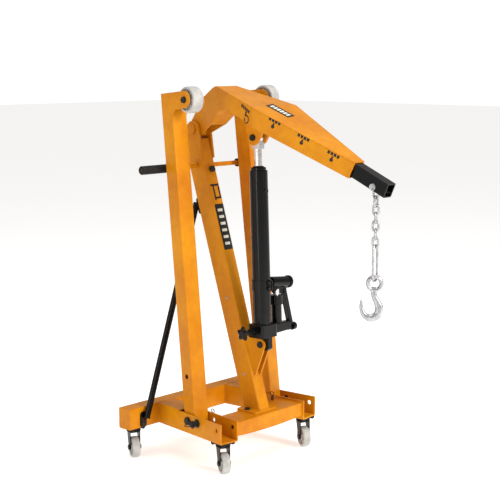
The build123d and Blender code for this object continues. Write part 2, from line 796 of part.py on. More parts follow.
with BuildPart() as ram_top_bolts:
    for side in (-1, 1):
        with BuildSketch(across(LIFT_X, LIFT_Z, side * LUG_HALF)):
            Circle(LIFT_PIN)
        extrude(amount=side * LUG_PLATE)
        with BuildSketch(across(LIFT_X, LIFT_Z, side * (LUG_HALF + LUG_PLATE))):
            hexagon(12)
        extrude(amount=side * 8)
save(ram_top_bolts, "ram_top_bolts")


def reach_plane(y):
    """Upright plane along the extension tube, at a Y; local x runs out of the boom."""
    return upright(TIP_X, y, TIP_Z, 0, -REACH_SLOPE)


with BuildPart() as extension_guides:
    for side in (-1, 1):
        with BuildSketch(reach_plane(side * (REACH_WIDTH / 2 + GAP))):
            with Locations((-REACH_INSIDE / 2 + 8, 0)):
                Rectangle(REACH_INSIDE - 44, REACH_HEIGHT - 2)
        extrude(amount=-side * 2.5)
    extrude(boom_inside(), amount=500, mode=Mode.INTERSECT)
save(extension_guides, "extension_guides")

with BuildPart() as extension_tube:
    with BuildSketch(reach_plane(REACH_WIDTH / 2)):
        with Locations(((REACH_OUTSIDE - REACH_INSIDE) / 2, 0)):
            Rectangle(REACH_OUTSIDE + REACH_INSIDE, REACH_HEIGHT)
    extrude(amount=REACH_WIDTH)
    long_edges = extension_tube.edges().filter_by(lambda edge: edge.length > 2 * REACH_OUTSIDE)
    fillet(long_edges, CORNER)
    with BuildSketch(reach_plane(REACH_WIDTH / 2 - WALL)):
        with Locations(((REACH_OUTSIDE - REACH_INSIDE) / 2, 0)):
            Rectangle(REACH_OUTSIDE + REACH_INSIDE + 2, REACH_HEIGHT - 2 * WALL)
    extrude(amount=REACH_WIDTH - 2 * WALL, mode=Mode.SUBTRACT)
    with BuildSketch(Plane.XY.offset(HANG_Z - 60)):
        with Locations((HANG_X, 0)):
            RectangleRounded(62, 24, 6)
    extrude(amount=64, mode=Mode.SUBTRACT)
    with BuildSketch(across(HANG_X, HANG_Z, -REACH_WIDTH)):
        Circle(HANG_BOLT)
    extrude(amount=2 * REACH_WIDTH, mode=Mode.SUBTRACT)
save(extension_tube, "extension_tube")

with BuildPart() as chain_bolt:
    bolt_across(HANG_X, HANG_Z, -REACH_WIDTH / 2, HANG_BOLT, REACH_WIDTH + 12, HANG_HEAD, -1)
    with BuildSketch(across(HANG_X, HANG_Z, REACH_WIDTH / 2)):
        hexagon(HANG_HEAD)
    extrude(amount=8)
save(chain_bolt, "chain_bolt")


def link(z, height, width, heading):
    """One chain link: a round bar swept round a stadium in a plane of that heading."""
    straight = height - width
    middle = width / 2 - WIRE
    centre = upright(HANG_X, 0, z, heading)
    with BuildLine(centre) as path:
        Line((-middle, -straight / 2), (-middle, straight / 2))
        ThreePointArc((-middle, straight / 2), (0, straight / 2 + middle), (middle, straight / 2))
        Line((middle, straight / 2), (middle, -straight / 2))
        ThreePointArc((middle, -straight / 2), (0, -straight / 2 - middle), (-middle, -straight / 2))
    start = centre.from_local_coords((-middle, -straight / 2, 0))
    with BuildSketch(Plane(start, x_dir=centre.x_dir, z_dir=(0, 0, 1))) as bar:
        Circle(WIRE)
    sweep(bar.sketch, path=path.wires()[0])


top_link_z = HANG_Z + HANG_BOLT + 2 * WIRE - TOP_LINK_HEIGHT / 2 + LINK_GAP

with BuildPart() as chain_top_link:
    link(top_link_z, TOP_LINK_HEIGHT, 28, 0)
save(chain_top_link, "chain_top_link")

short_height = PITCH + 4 * WIRE
first_z = top_link_z - TOP_LINK_HEIGHT / 2 + 2 * WIRE + LINK_GAP - PITCH / 2
short_places = [first_z - step * (PITCH - LINK_GAP) for step in range(len(SHORT_TURNS))]
long_top = short_places[-1] - PITCH / 2 + LINK_GAP + 2 * WIRE
long_bottom = HOOK_EYE_Z + HOOK_EYE_HOLE - EYE_GAP - 2 * WIRE

with BuildPart() as chain_links:
    for place, turn in zip(short_places, SHORT_TURNS):
        link(place, short_height, 25, turn)
    link((long_top + long_bottom) / 2, long_top - long_bottom, 34, LONG_TURN)
save(chain_links, "chain_links")

hook_plane = upright(HANG_X, 0, HOOK_EYE_Z, FACING)

with BuildPart() as hook:
    with BuildSketch(hook_plane):
        Circle(HOOK_EYE_RADIUS)
        with BuildLine():
            Spline((9, -24), (8, -46), (19, -64), (29, -88), (20, -112), (-8, -124), (-34, -110),
                   (-47, -81), (-43, -52))
            Line((-43, -52), (-39, -53))
            Spline((-39, -53), (-37, -76), (-28, -94), (-14, -100), (0, -92), (4, -76), (-2, -56),
                   (-9, -38), (-12, -22))
            Line((-12, -22), (9, -24))
        make_face()
        Circle(HOOK_EYE_HOLE, mode=Mode.SUBTRACT)
    extrude(amount=HOOK_HALF, both=True)
    hole_edges = hook.edges().filter_by(GeomType.CIRCLE).sort_by(SortBy.RADIUS)[:2]
    chamfer(hole_edges, 3)
save(hook, "hook")

# ---------------------------------------------------------------- ram

ram_axis = Vector(LIFT_X - RAM_X, 0, LIFT_Z - RAM_Z)
ram_length = ram_axis.length
ram_up = ram_axis.normalized()
ram = Plane(origin=(RAM_X, 0, RAM_Z), x_dir=(ram_up.Z, 0, -ram_up.X), z_dir=ram_up)


def ram_side(y):
    """Side view plane of the ram: local x to the front, local y up the ram, normal to -Y."""
    return Plane(ram.from_local_coords((0, y, 0)), x_dir=ram.x_dir, z_dir=(0, -1, 0))


def ram_front(x):
    """Front view plane of the ram: local x along +Y, local y up the ram."""
    return Plane(ram.from_local_coords((x, 0, 0)), x_dir=(0, 1, 0), z_dir=ram.x_dir)


with BuildPart() as ram_base_block:
    with BuildSketch(ram.offset(BLOCK_START)):
        RectangleRounded(72, 80, 12)
    extrude(amount=CYLINDER_START - BLOCK_START)
    fillet(ram_base_block.faces().sort_by(Axis((0, 0, 0), tuple(ram_up)))[-1].edges(), 3)
    with BuildSketch(ram_front(-ARM_HALF)):
        Polygon((30, 29), (130, 33), (130, 64), (30, 66), align=None)
    extrude(amount=2 * ARM_HALF)
    arm_edges = ram_base_block.edges().filter_by(lambda edge: 80 < edge.length < 101)
    fillet(arm_edges, CORNER)
    with BuildSketch(ram_front(-WEB_HALF)):
        Polygon((125, 30), (150, 30), (150, 57), (125, 57), align=None)
        with Locations(LINK_FOOT):
            Circle(10)
            Circle(LINK_PIN + RUN, mode=Mode.SUBTRACT)
    extrude(amount=2 * WEB_HALF)
    with BuildSketch(ram_side(BRACKET_HALF - GAP)):
        Circle(17)
        Polygon((-30, 30), (34, 30), (34, -12), (24, -20), (0, 0), align=None)
        make_hull()
        Circle(BASE_PIN + RUN, mode=Mode.SUBTRACT)
    extrude(amount=2 * (BRACKET_HALF - GAP))
    with BuildSketch(ram_side(-38)):
        with Locations((0, VALVE_UP)):
            Circle(14)
    extrude(amount=20)
    with BuildSketch(ram_side(-30)):
        with Locations((0, VALVE_UP)):
            Circle(VALVE_STEM + RUN)
    extrude(amount=30, mode=Mode.SUBTRACT)
save(ram_base_block, "ram_base_block")

with BuildPart() as arm_end_plug:
    with BuildSketch(ram_side(150)):
        with Locations((0, 40)):
            Circle(14)
    extrude(amount=-20)
    fillet(arm_end_plug.faces().sort_by(Axis.Y)[-1].edges(), 8)
save(arm_end_plug, "arm_end_plug")

with BuildPart() as ram_cylinder:
    with BuildSketch(ram.offset(CYLINDER_START)):
        Circle(CYLINDER_RADIUS)
        Circle(CYLINDER_BORE, mode=Mode.SUBTRACT)
    extrude(amount=CYLINDER_TOP - CYLINDER_START)
    fillet(ram_cylinder.edges().group_by(Axis.Z)[-1].sort_by(SortBy.LENGTH)[-1], 5)
    with BuildSketch(ram_front(CYLINDER_BORE - 1)):
        with Locations((0, FILLER_UP)):
            Circle(PLUG_RADIUS)
    extrude(amount=CYLINDER_RADIUS - CYLINDER_BORE + 2, mode=Mode.SUBTRACT)
save(ram_cylinder, "ram_cylinder")

with BuildPart() as ram_gland:
    with BuildSketch(ram.offset(CYLINDER_TOP - GLAND_SEAT)):
        Circle(CYLINDER_BORE)
    extrude(amount=GLAND_SEAT)
    with BuildSketch(ram.offset(CYLINDER_TOP)):
        Circle(26)
    extrude(amount=11)
    chamfer(ram_gland.edges().group_by(Axis.Z)[-1], 2)
    with BuildSketch(ram.offset(CYLINDER_TOP - GLAND_SEAT - 1)):
        Circle(ROD_RADIUS + RUN)
    extrude(amount=40, mode=Mode.SUBTRACT)
save(ram_gland, "ram_gland")

with BuildPart() as filler_plug:
    with BuildSketch(ram_front(CYLINDER_RADIUS - 3)):
        with Locations((0, FILLER_UP)):
            Circle(PLUG_RADIUS)
    extrude(amount=3)
    with BuildSketch(ram_front(CYLINDER_RADIUS)):
        with Locations((0, FILLER_UP)):
            hexagon(7)
    extrude(amount=6)
save(filler_plug, "filler_plug")

with BuildPart() as ram_rod:
    with BuildSketch(ram.offset(PISTON_TOP - 25)):
        Circle(CYLINDER_BORE - RUN)
    extrude(amount=25)
    with BuildSketch(ram.offset(PISTON_TOP)):
        Circle(ROD_RADIUS)
    extrude(amount=ram_length - PISTON_TOP)
    with BuildSketch(ram_side(LUG_HALF - GAP)):
        with Locations((0, ram_length)):
            Circle(19)
        with Locations((0, ram_length - 22)):
            Rectangle(32, 34)
    extrude(amount=2 * (LUG_HALF - GAP))
    with BuildSketch(ram_side(20)):
        with Locations((0, ram_length)):
            Circle(LIFT_PIN + GAP)
    extrude(amount=40, mode=Mode.SUBTRACT)
save(ram_rod, "ram_rod")

with BuildPart() as clamp_band:
    with BuildSketch(ram.offset(190)):
        Circle(CYLINDER_RADIUS + 3)
        with Locations((CYLINDER_RADIUS + 6, 0)):
            Rectangle(18, 12)
        Circle(CYLINDER_RADIUS, mode=Mode.SUBTRACT)
        with Locations((CYLINDER_RADIUS + 10, 0)):
            Rectangle(30, 4, mode=Mode.SUBTRACT)
    extrude(amount=36)
save(clamp_band, "clamp_band")

pump = Plane(ram.from_local_coords((0, PUMP_Y, 0)), x_dir=ram.x_dir, z_dir=ram_up)

with BuildPart() as pump_barrel:
    with BuildSketch(pump.offset(66)):
        Circle(18)
    extrude(amount=64)
    with BuildSketch(pump.offset(74)):
        Circle(PLUNGER_RADIUS + RUN)
    extrude(amount=60, mode=Mode.SUBTRACT)
    split(bisect_by=ram.offset(66), keep=Keep.TOP)
save(pump_barrel, "pump_barrel")

with BuildPart() as pump_gland:
    with BuildSketch(pump.offset(130)):
        Circle(22)
        with PolarLocations(23.5, 12):
            Circle(2.4, mode=Mode.SUBTRACT)
        Circle(PLUNGER_RADIUS + RUN, mode=Mode.SUBTRACT)
    extrude(amount=33)
save(pump_gland, "pump_gland")

with BuildPart() as pump_plunger:
    with BuildSketch(pump.offset(92)):
        Circle(PLUNGER_RADIUS)
    extrude(amount=92)
    with BuildSketch(pump.offset(164)):
        Rectangle(2 * (WEB_HALF + GAP), 40)
    extrude(amount=40, mode=Mode.SUBTRACT)
    with BuildSketch(ram_front(-PLUNGER_RADIUS - 1)):
        for side in (1, -1):
            Polygon((PUMP_Y + 12 * side, 172), (PUMP_Y + 12 * side, 186), (PUMP_Y + 3 * side, 186),
                    align=None)
    extrude(amount=2 * PLUNGER_RADIUS + 2, mode=Mode.SUBTRACT)
    with BuildSketch(ram_front(-WEB_HALF - GAP)):
        Polygon((PUMP_Y + 3, 164.5), (PUMP_Y + 12, 164.5), (PUMP_Y + 12, 158.5), align=None)
    extrude(amount=2 * (WEB_HALF + GAP), mode=Mode.SUBTRACT)
    with BuildSketch(ram_front(-PLUNGER_RADIUS + 1)):
        with Locations((PUMP_Y, PLUNGER_PIN_UP)):
            Circle(LINK_PIN)
    extrude(amount=2 * PLUNGER_RADIUS - 2)
save(pump_plunger, "pump_plunger")

droop = radians(SOCKET_DROOP)
socket_axis = Vector(0, cos(droop), 0) - ram_up * sin(droop)
socket_rise = (PUMP_Y - SOCKET_START) * tan(droop)
socket_start = ram.from_local_coords((0, SOCKET_START, SOCKET_UP + socket_rise))
socket_plane = Plane(socket_start, x_dir=ram.x_dir, z_dir=socket_axis)

with BuildPart() as handle_socket:
    with BuildSketch(ram_front(-WEB_HALF)):
        with Locations((PUMP_Y - 7, PLUNGER_PIN_UP + 1), (PUMP_Y, PLUNGER_PIN_UP), LINK_HEAD):
            Circle(9.5)
        Polygon((PUMP_Y - 12, 206), (LINK_HEAD[0] + 12, 200), LINK_HEAD, align=None)
        make_hull()
        with Locations(LINK_HEAD):
            Circle(LINK_PIN + RUN, mode=Mode.SUBTRACT)
        with Locations((PUMP_Y - 2.8, PLUNGER_PIN_UP - 0.7)):
            SlotOverall(17, 2 * LINK_PIN + 3, mode=Mode.SUBTRACT)
    extrude(amount=2 * WEB_HALF)
    with BuildSketch(socket_plane):
        Circle(SOCKET_RADIUS)
    extrude(amount=SOCKET_LENGTH)
    with BuildSketch(socket_plane.offset(SOCKET_LENGTH - SOCKET_COLLAR)):
        Circle(SOCKET_RADIUS + 3)
    extrude(amount=SOCKET_COLLAR)
    with BuildSketch(socket_plane.offset(-1)):
        Circle(SOCKET_BORE)
    extrude(amount=SOCKET_LENGTH + 2, mode=Mode.SUBTRACT)
save(handle_socket, "handle_socket")

link_middle = ((LINK_FOOT[0] + LINK_HEAD[0]) / 2, (LINK_FOOT[1] + LINK_HEAD[1]) / 2)
link_span = Vector(LINK_HEAD[0] - LINK_FOOT[0], LINK_HEAD[1] - LINK_FOOT[1], 0)
link_turn = degrees(atan2(link_span.Y, link_span.X))

with BuildPart() as link_strap:
    for x in (-WEB_HALF - GAP - 3, WEB_HALF + GAP):
        with BuildSketch(ram_front(x)):
            with Locations(link_middle):
                SlotCenterToCenter(link_span.length, 14, rotation=link_turn)
        extrude(amount=3)
    with BuildSketch(ram_front(-WEB_HALF - 5)):
        with Locations(LINK_FOOT, LINK_HEAD):
            Circle(LINK_PIN)
    extrude(amount=2 * WEB_HALF + 10)
save(link_strap, "link_strap")

with BuildPart() as release_knob:
    with BuildSketch(ram_side(-32)):
        with Locations((0, VALVE_UP)):
            Circle(VALVE_STEM)
    extrude(amount=75)
    with BuildSketch(ram_side(-58 - GAP)):
        with Locations((0, VALVE_UP)):
            hexagon(11)
    extrude(amount=12)
    with BuildSketch(ram_side(-93)):
        with Locations((0, VALVE_UP)):
            Circle(16)
            with PolarLocations(18, 5):
                Circle(9)
                Circle(3.2, mode=Mode.SUBTRACT)
    extrude(amount=14)
save(release_knob, "release_knob")

# ---------------------------------------------------------------- casters

with BuildPart() as caster_plates:
    for x, y in CASTERS.values():
        with BuildSketch(Plane.XY.offset(DECK - 4)):
            with Locations((x, y)):
                RectangleRounded(62, 62, 6)
        extrude(amount=4)
        with BuildSketch(Plane.XY.offset(DECK - 11)):
            with Locations((x, y)):
                Circle(22)
        extrude(amount=7)
        with BuildSketch(Plane.XY.offset(DECK - 19)):
            with Locations((x, y)):
                Circle(CASTER_STEM)
        extrude(amount=10)
save(caster_plates, "caster_plates")

heading = radians(CASTER_TURN)
for name, (x, y) in CASTERS.items():
    axle_x = x + CASTER_TRAIL * cos(heading)
    axle_y = y + CASTER_TRAIL * sin(heading)
    roll = upright(axle_x, axle_y, CASTER_RADIUS, CASTER_TURN)

    with BuildPart() as caster_fork:
        with BuildSketch(Plane.XY.offset(DECK - 17)):
            with Locations((x, y)):
                Circle(23)
        extrude(amount=6 - GAP)
        with BuildSketch(roll):
            Polygon((-CASTER_TRAIL - 20, 59), (-CASTER_TRAIL + 20, 59), (10, 0), (-10, 0), align=None)
            Circle(11)
        extrude(amount=FORK_OUTSIDE, both=True)
        with BuildSketch(roll):
            with Locations((0, 5)):
                Rectangle(120, 97)
        extrude(amount=FORK_INSIDE, both=True, mode=Mode.SUBTRACT)
        with BuildSketch(Plane.XY.offset(DECK - 20)):
            with Locations((x, y)):
                Circle(CASTER_STEM + RUN)
        extrude(amount=20, mode=Mode.SUBTRACT)
        with BuildSketch(roll):
            Circle(CASTER_STEM)
        extrude(amount=FORK_OUTSIDE + 3, both=True)
    save(caster_fork, f"caster_fork_{name}")

    with BuildPart() as caster_wheel:
        with BuildSketch(roll):
            Circle(CASTER_RADIUS)
        extrude(amount=CASTER_WIDTH / 2, both=True)
        fillet(caster_wheel.edges(), 4)
        for side in (-1, 1):
            with BuildSketch(roll.offset(side * (CASTER_WIDTH / 2 - 4))):
                Circle(CASTER_RADIUS - 10)
                Circle(CASTER_HUB, mode=Mode.SUBTRACT)
            extrude(amount=side * 5, mode=Mode.SUBTRACT)
        with BuildSketch(roll):
            Circle(CASTER_STEM + RUN)
        extrude(amount=CASTER_WIDTH, both=True, mode=Mode.SUBTRACT)
    save(caster_wheel, f"caster_wheel_{name}")
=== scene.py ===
import bpy
import bmesh
import json
from math import atan2, cos, pi, radians, sin, tan
from mathutils import Matrix, Vector, noise


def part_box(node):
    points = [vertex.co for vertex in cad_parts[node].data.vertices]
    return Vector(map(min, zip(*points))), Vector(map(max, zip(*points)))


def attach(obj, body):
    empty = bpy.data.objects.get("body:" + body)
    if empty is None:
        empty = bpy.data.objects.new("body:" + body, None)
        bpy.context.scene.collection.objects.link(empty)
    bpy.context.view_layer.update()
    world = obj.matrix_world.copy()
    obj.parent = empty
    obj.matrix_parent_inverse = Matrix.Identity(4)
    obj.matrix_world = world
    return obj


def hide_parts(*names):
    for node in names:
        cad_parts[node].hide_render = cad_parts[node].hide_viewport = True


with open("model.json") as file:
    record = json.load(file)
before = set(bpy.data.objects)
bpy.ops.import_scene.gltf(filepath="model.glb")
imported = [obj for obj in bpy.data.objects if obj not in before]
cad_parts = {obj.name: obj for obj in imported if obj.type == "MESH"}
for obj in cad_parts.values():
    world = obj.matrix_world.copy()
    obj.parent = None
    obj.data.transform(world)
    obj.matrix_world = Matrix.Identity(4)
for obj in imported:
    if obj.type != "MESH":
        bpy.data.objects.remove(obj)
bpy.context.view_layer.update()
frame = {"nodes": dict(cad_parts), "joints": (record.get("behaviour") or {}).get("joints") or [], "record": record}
nodes = frame["nodes"]
joints = {joint["name"]: joint for joint in frame["joints"]}
scene = bpy.context.scene
MM = 0.001

# Angles of the hoist's own geometry.
SPLAY = radians(6.41)          # each leg and side channel opens outwards
LEG_TILT = radians(6.05)       # the folded leg leans back
LEAN = radians(17.57)          # the mast leans back
FACING = radians(43)           # the hook's flat side looks this way round

# Sizes and heights in millimetres.
FLOOR_OF_MAST = 179            # underside of the mast's post
POST_DEPTH = 76.5              # the post's front face to its back face
POST_HALF = 25                 # half the post's width
WIRE = 3.5                     # radius of the chain's bar
EYE_RADIUS = 28                # over the hook's eye
EYE_MIDDLE = 21.4              # to the middle of the eye's bar
EYE_BAR = 6.4                  # radius of the eye's bar
SPRING_MIDDLE = 9.4            # to the middle of the lock pin's spring wire
COILS = 6                      # turns of that spring
PULL_RING = 12.4               # to the middle of the lock pin's ring


# ---------------------------------------------------------------- shader tools

class Shader:
    """A node material built step by step; constants go on the shader's own sockets."""

    def __init__(self, name, **constants):
        self.material = bpy.data.materials.new(name)
        self.material.use_nodes = True
        self.nodes = self.material.node_tree.nodes
        self.links = self.material.node_tree.links
        self.bsdf = self.nodes["Principled BSDF"]
        for socket, value in constants.items():
            self.bsdf.inputs[socket.replace("_", " ")].default_value = value
        self.place = self.add("ShaderNodeTexCoord").outputs["Object"]

    def add(self, kind, **settings):
        node = self.nodes.new(kind)
        for key, value in settings.items():
            setattr(node, key, value)
        return node

    def put(self, socket, value):
        if isinstance(value, bpy.types.NodeSocket):
            self.links.new(value, socket)
        else:
            socket.default_value = value

    def noise(self, scale, detail=4.0, roughness=0.55, distortion=0.0, vector=None):
        node = self.add("ShaderNodeTexNoise")
        self.put(node.inputs["Vector"], vector or self.place)
        for socket, value in zip(("Scale", "Detail", "Roughness", "Distortion"),
                                 (scale, detail, roughness, distortion)):
            node.inputs[socket].default_value = value
        return node.outputs["Fac"]

    def stretch(self, x, y, z):
        node = self.add("ShaderNodeMapping")
        self.put(node.inputs["Vector"], self.place)
        node.inputs["Scale"].default_value = (x, y, z)
        return node.outputs["Vector"]

    def ramp(self, value, low, high, start=0.0, end=1.0):
        node = self.add("ShaderNodeMapRange")
        for socket, entry in (("Value", value), ("From Min", low), ("From Max", high),
                              ("To Min", start), ("To Max", end)):
            self.put(node.inputs[socket], entry)
        return node.outputs["Result"]

    def math(self, operation, first, second=0.0):
        node = self.add("ShaderNodeMath", operation=operation)
        self.put(node.inputs[0], first)
        self.put(node.inputs[1], second)
        return node.outputs[0]

    def mix(self, share, first, second):
        node = self.add("ShaderNodeMix", data_type="RGBA")
        self.put(node.inputs["Factor"], share)
        self.put(node.inputs["A"], first)
        self.put(node.inputs["B"], second)
        return node.outputs["Result"]

    def edges(self, radius):
        """1 on sharp edges, 0 on flat faces, from how far a rounded normal turns away."""
        rounded = self.add("ShaderNodeBevel", samples=6)
        rounded.inputs["Radius"].default_value = radius
        plain = self.add("ShaderNodeNewGeometry").outputs["Normal"]
        dot = self.add("ShaderNodeVectorMath", operation="DOT_PRODUCT")
        self.links.new(rounded.outputs["Normal"], dot.inputs[0])
        self.links.new(plain, dot.inputs[1])
        return self.ramp(dot.outputs["Value"], 1.0, 0.8)

    def bump(self, height, depth, strength=1.0, bevel=0.0):
        node = self.add("ShaderNodeBump")
        node.inputs["Strength"].default_value = strength
        node.inputs["Distance"].default_value = depth
        self.put(node.inputs["Height"], height)
        if bevel:
            rounded = self.add("ShaderNodeBevel", samples=6)
            rounded.inputs["Radius"].default_value = bevel
            self.links.new(rounded.outputs["Normal"], node.inputs["Normal"])
        self.links.new(node.outputs["Normal"], self.bsdf.inputs["Normal"])

    def colour(self, value):
        self.put(self.bsdf.inputs["Base Color"], value)

    def rough(self, value):
        self.put(self.bsdf.inputs["Roughness"], value)


def enamel(name, deep, bright, chip, gloss, edge_wear, shine):
    """Sprayed enamel on steel: tone drift, orange peel, streaky dust scuffs, chips on edges."""
    shader = Shader(name, Specular_IOR_Level=shine)
    drift = shader.noise(5.0, 3.0, 0.5)
    mottle = shader.noise(38.0, 5.0, 0.6)
    tone = shader.math("ADD", shader.math("MULTIPLY", drift, 0.7), shader.math("MULTIPLY", mottle, 0.3))
    base = shader.mix(shader.ramp(tone, 0.35, 0.65), deep, bright)
    specks = shader.ramp(shader.noise(420.0, 3.0, 0.7), 0.70, 0.74)
    spread = shader.noise(90.0, 6.0, 0.7)
    worn = shader.math("MULTIPLY", shader.edges(0.0022), shader.ramp(spread, 0.52, 0.60))
    worn = shader.math("MULTIPLY", worn, edge_wear)
    scuffs = shader.ramp(shader.noise(26.0, 8.0, 0.72, 0.6, shader.stretch(1.0, 1.0, 0.25)), 0.66, 0.72)
    dusty = shader.mix(shader.math("MULTIPLY", scuffs, 0.12), base, chip)
    speckled = shader.mix(shader.math("MULTIPLY", specks, 0.18), dusty, chip)
    shader.colour(shader.mix(worn, speckled, chip))
    rough = shader.ramp(shader.noise(14.0, 6.0, 0.65), 0.3, 0.7, gloss, gloss + 0.16)
    shader.rough(shader.math("ADD", rough, shader.math("MULTIPLY", scuffs, 0.15)))
    peel = shader.noise(620.0, 2.0, 0.5)
    waves = shader.noise(60.0, 2.0, 0.4)
    height = shader.math("ADD", peel, shader.math("MULTIPLY", waves, 1.6))
    shader.bump(shader.math("SUBTRACT", height, shader.math("MULTIPLY", worn, 1.5)), 0.00010, 0.5, 0.0012)
    return shader.material


def metal(name, dull, bright, gloss, grain=(1.0, 1.0, 1.0), dirt=0.25):
    """Bare or plated steel with fine grain, finger marks and dull spots."""
    shader = Shader(name, Metallic=1.0)
    cloud = shader.noise(55.0, 5.0, 0.65)
    shader.colour(shader.mix(shader.ramp(cloud, 0.35, 0.65), dull, bright))
    spots = shader.ramp(shader.noise(170.0, 4.0, 0.7), 0.55, 0.68)
    fine = shader.noise(900.0, 2.0, 0.6, 0.0, shader.stretch(*grain))
    rough = shader.ramp(fine, 0.3, 0.7, gloss, gloss + 0.12)
    shader.rough(shader.math("ADD", rough, shader.math("MULTIPLY", spots, dirt)))
    shader.bump(shader.math("ADD", fine, shader.math("MULTIPLY", spots, 0.4)), 0.00008, 0.5, 0.0006)
    return shader.material


def plastic(name, low, high, gloss, peel_scale, peel_depth, marks, shine):
    """Moulded nylon, plastic or rubber with a fine skin and rubbed patches."""
    shader = Shader(name, Specular_IOR_Level=shine)
    cloud = shader.noise(30.0, 5.0, 0.6)
    base = shader.mix(shader.ramp(cloud, 0.35, 0.65), low, high)
    rubbed = shader.ramp(shader.noise(75.0, 7.0, 0.7), 0.60, 0.70)
    shader.colour(shader.mix(shader.math("MULTIPLY", rubbed, 0.35), base, marks))
    shader.rough(shader.ramp(cloud, 0.3, 0.7, gloss, gloss + 0.14))
    shader.bump(shader.noise(peel_scale, 3.0, 0.6), peel_depth, 0.6, 0.0008)
    return shader.material


ORANGE = enamel("orange_enamel", (0.50, 0.155, 0.003, 1), (0.66, 0.260, 0.004, 1),
                (0.26, 0.09, 0.02, 1), 0.27, 0.45, 0.16)
BLACK = enamel("black_enamel", (0.0012, 0.0012, 0.0014, 1), (0.0030, 0.0030, 0.0034, 1),
               (0.035, 0.034, 0.032, 1), 0.10, 0.35, 0.22)
CASTER = enamel("caster_enamel", (0.0025, 0.0025, 0.0028, 1), (0.007, 0.007, 0.0075, 1),
                (0.08, 0.075, 0.07, 1), 0.30, 0.6, 0.2)
NYLON = plastic("white_nylon", (0.36, 0.36, 0.35, 1), (0.50, 0.50, 0.49, 1), 0.38, 260.0, 0.0002,
                (0.40, 0.39, 0.37, 1), 0.5)
RUBBER = plastic("grip_rubber", (0.006, 0.006, 0.006, 1), (0.014, 0.014, 0.014, 1), 0.55, 700.0, 0.0003,
                 (0.03, 0.03, 0.029, 1), 0.25)
KNOB = plastic("knob_plastic", (0.007, 0.007, 0.007, 1), (0.014, 0.014, 0.014, 1), 0.36, 900.0, 0.00015,
               (0.04, 0.04, 0.04, 1), 0.3)
CHROME = metal("hard_chrome", (0.62, 0.63, 0.65, 1), (0.80, 0.81, 0.83, 1), 0.10, (1, 1, 0.1), 0.12)
ZINC = metal("zinc_plate", (0.30, 0.31, 0.33, 1), (0.56, 0.57, 0.59, 1), 0.26)
BOLT = enamel("black_zinc", (0.003, 0.003, 0.0035, 1), (0.009, 0.009, 0.010, 1),
              (0.16, 0.15, 0.14, 1), 0.28, 0.6, 0.3)

FINISH = {
    "orange_paint": ORANGE, "black_paint": BLACK, "caster_black": CASTER, "white_nylon": NYLON,
    "grip_rubber": RUBBER, "black_plastic": KNOB, "chromed_rod": CHROME, "zinc_steel": ZINC,
    "bolt_steel": BOLT,
}
slot_of = {entry["node"]: entry["material_slot"] for entry in frame["record"]["subparts"]}

for name, piece in nodes.items():
    piece.data.materials.clear()
    piece.data.materials.append(FINISH[slot_of[name]])
    for face in piece.data.polygons:
        face.use_smooth = True
    piece.data.set_sharp_from_angle(angle=radians(28))

# ---------------------------------------------------------------- shape tools, in millimetres


def placed(origin, axis, across=(0, 0, 1)):
    """Matrix of a frame with its Z along the axis and its X as near to across as can be."""
    z = Vector(axis).normalized()
    x = Vector(across) - Vector(across).dot(z) * z
    if x.length < 0.01:
        x = Vector((1, 0, 0)) - z.x * z
    x.normalize()
    y = z.cross(x)
    return Matrix.Translation(Vector(origin)) @ Matrix((x, y, z)).transposed().to_4x4()


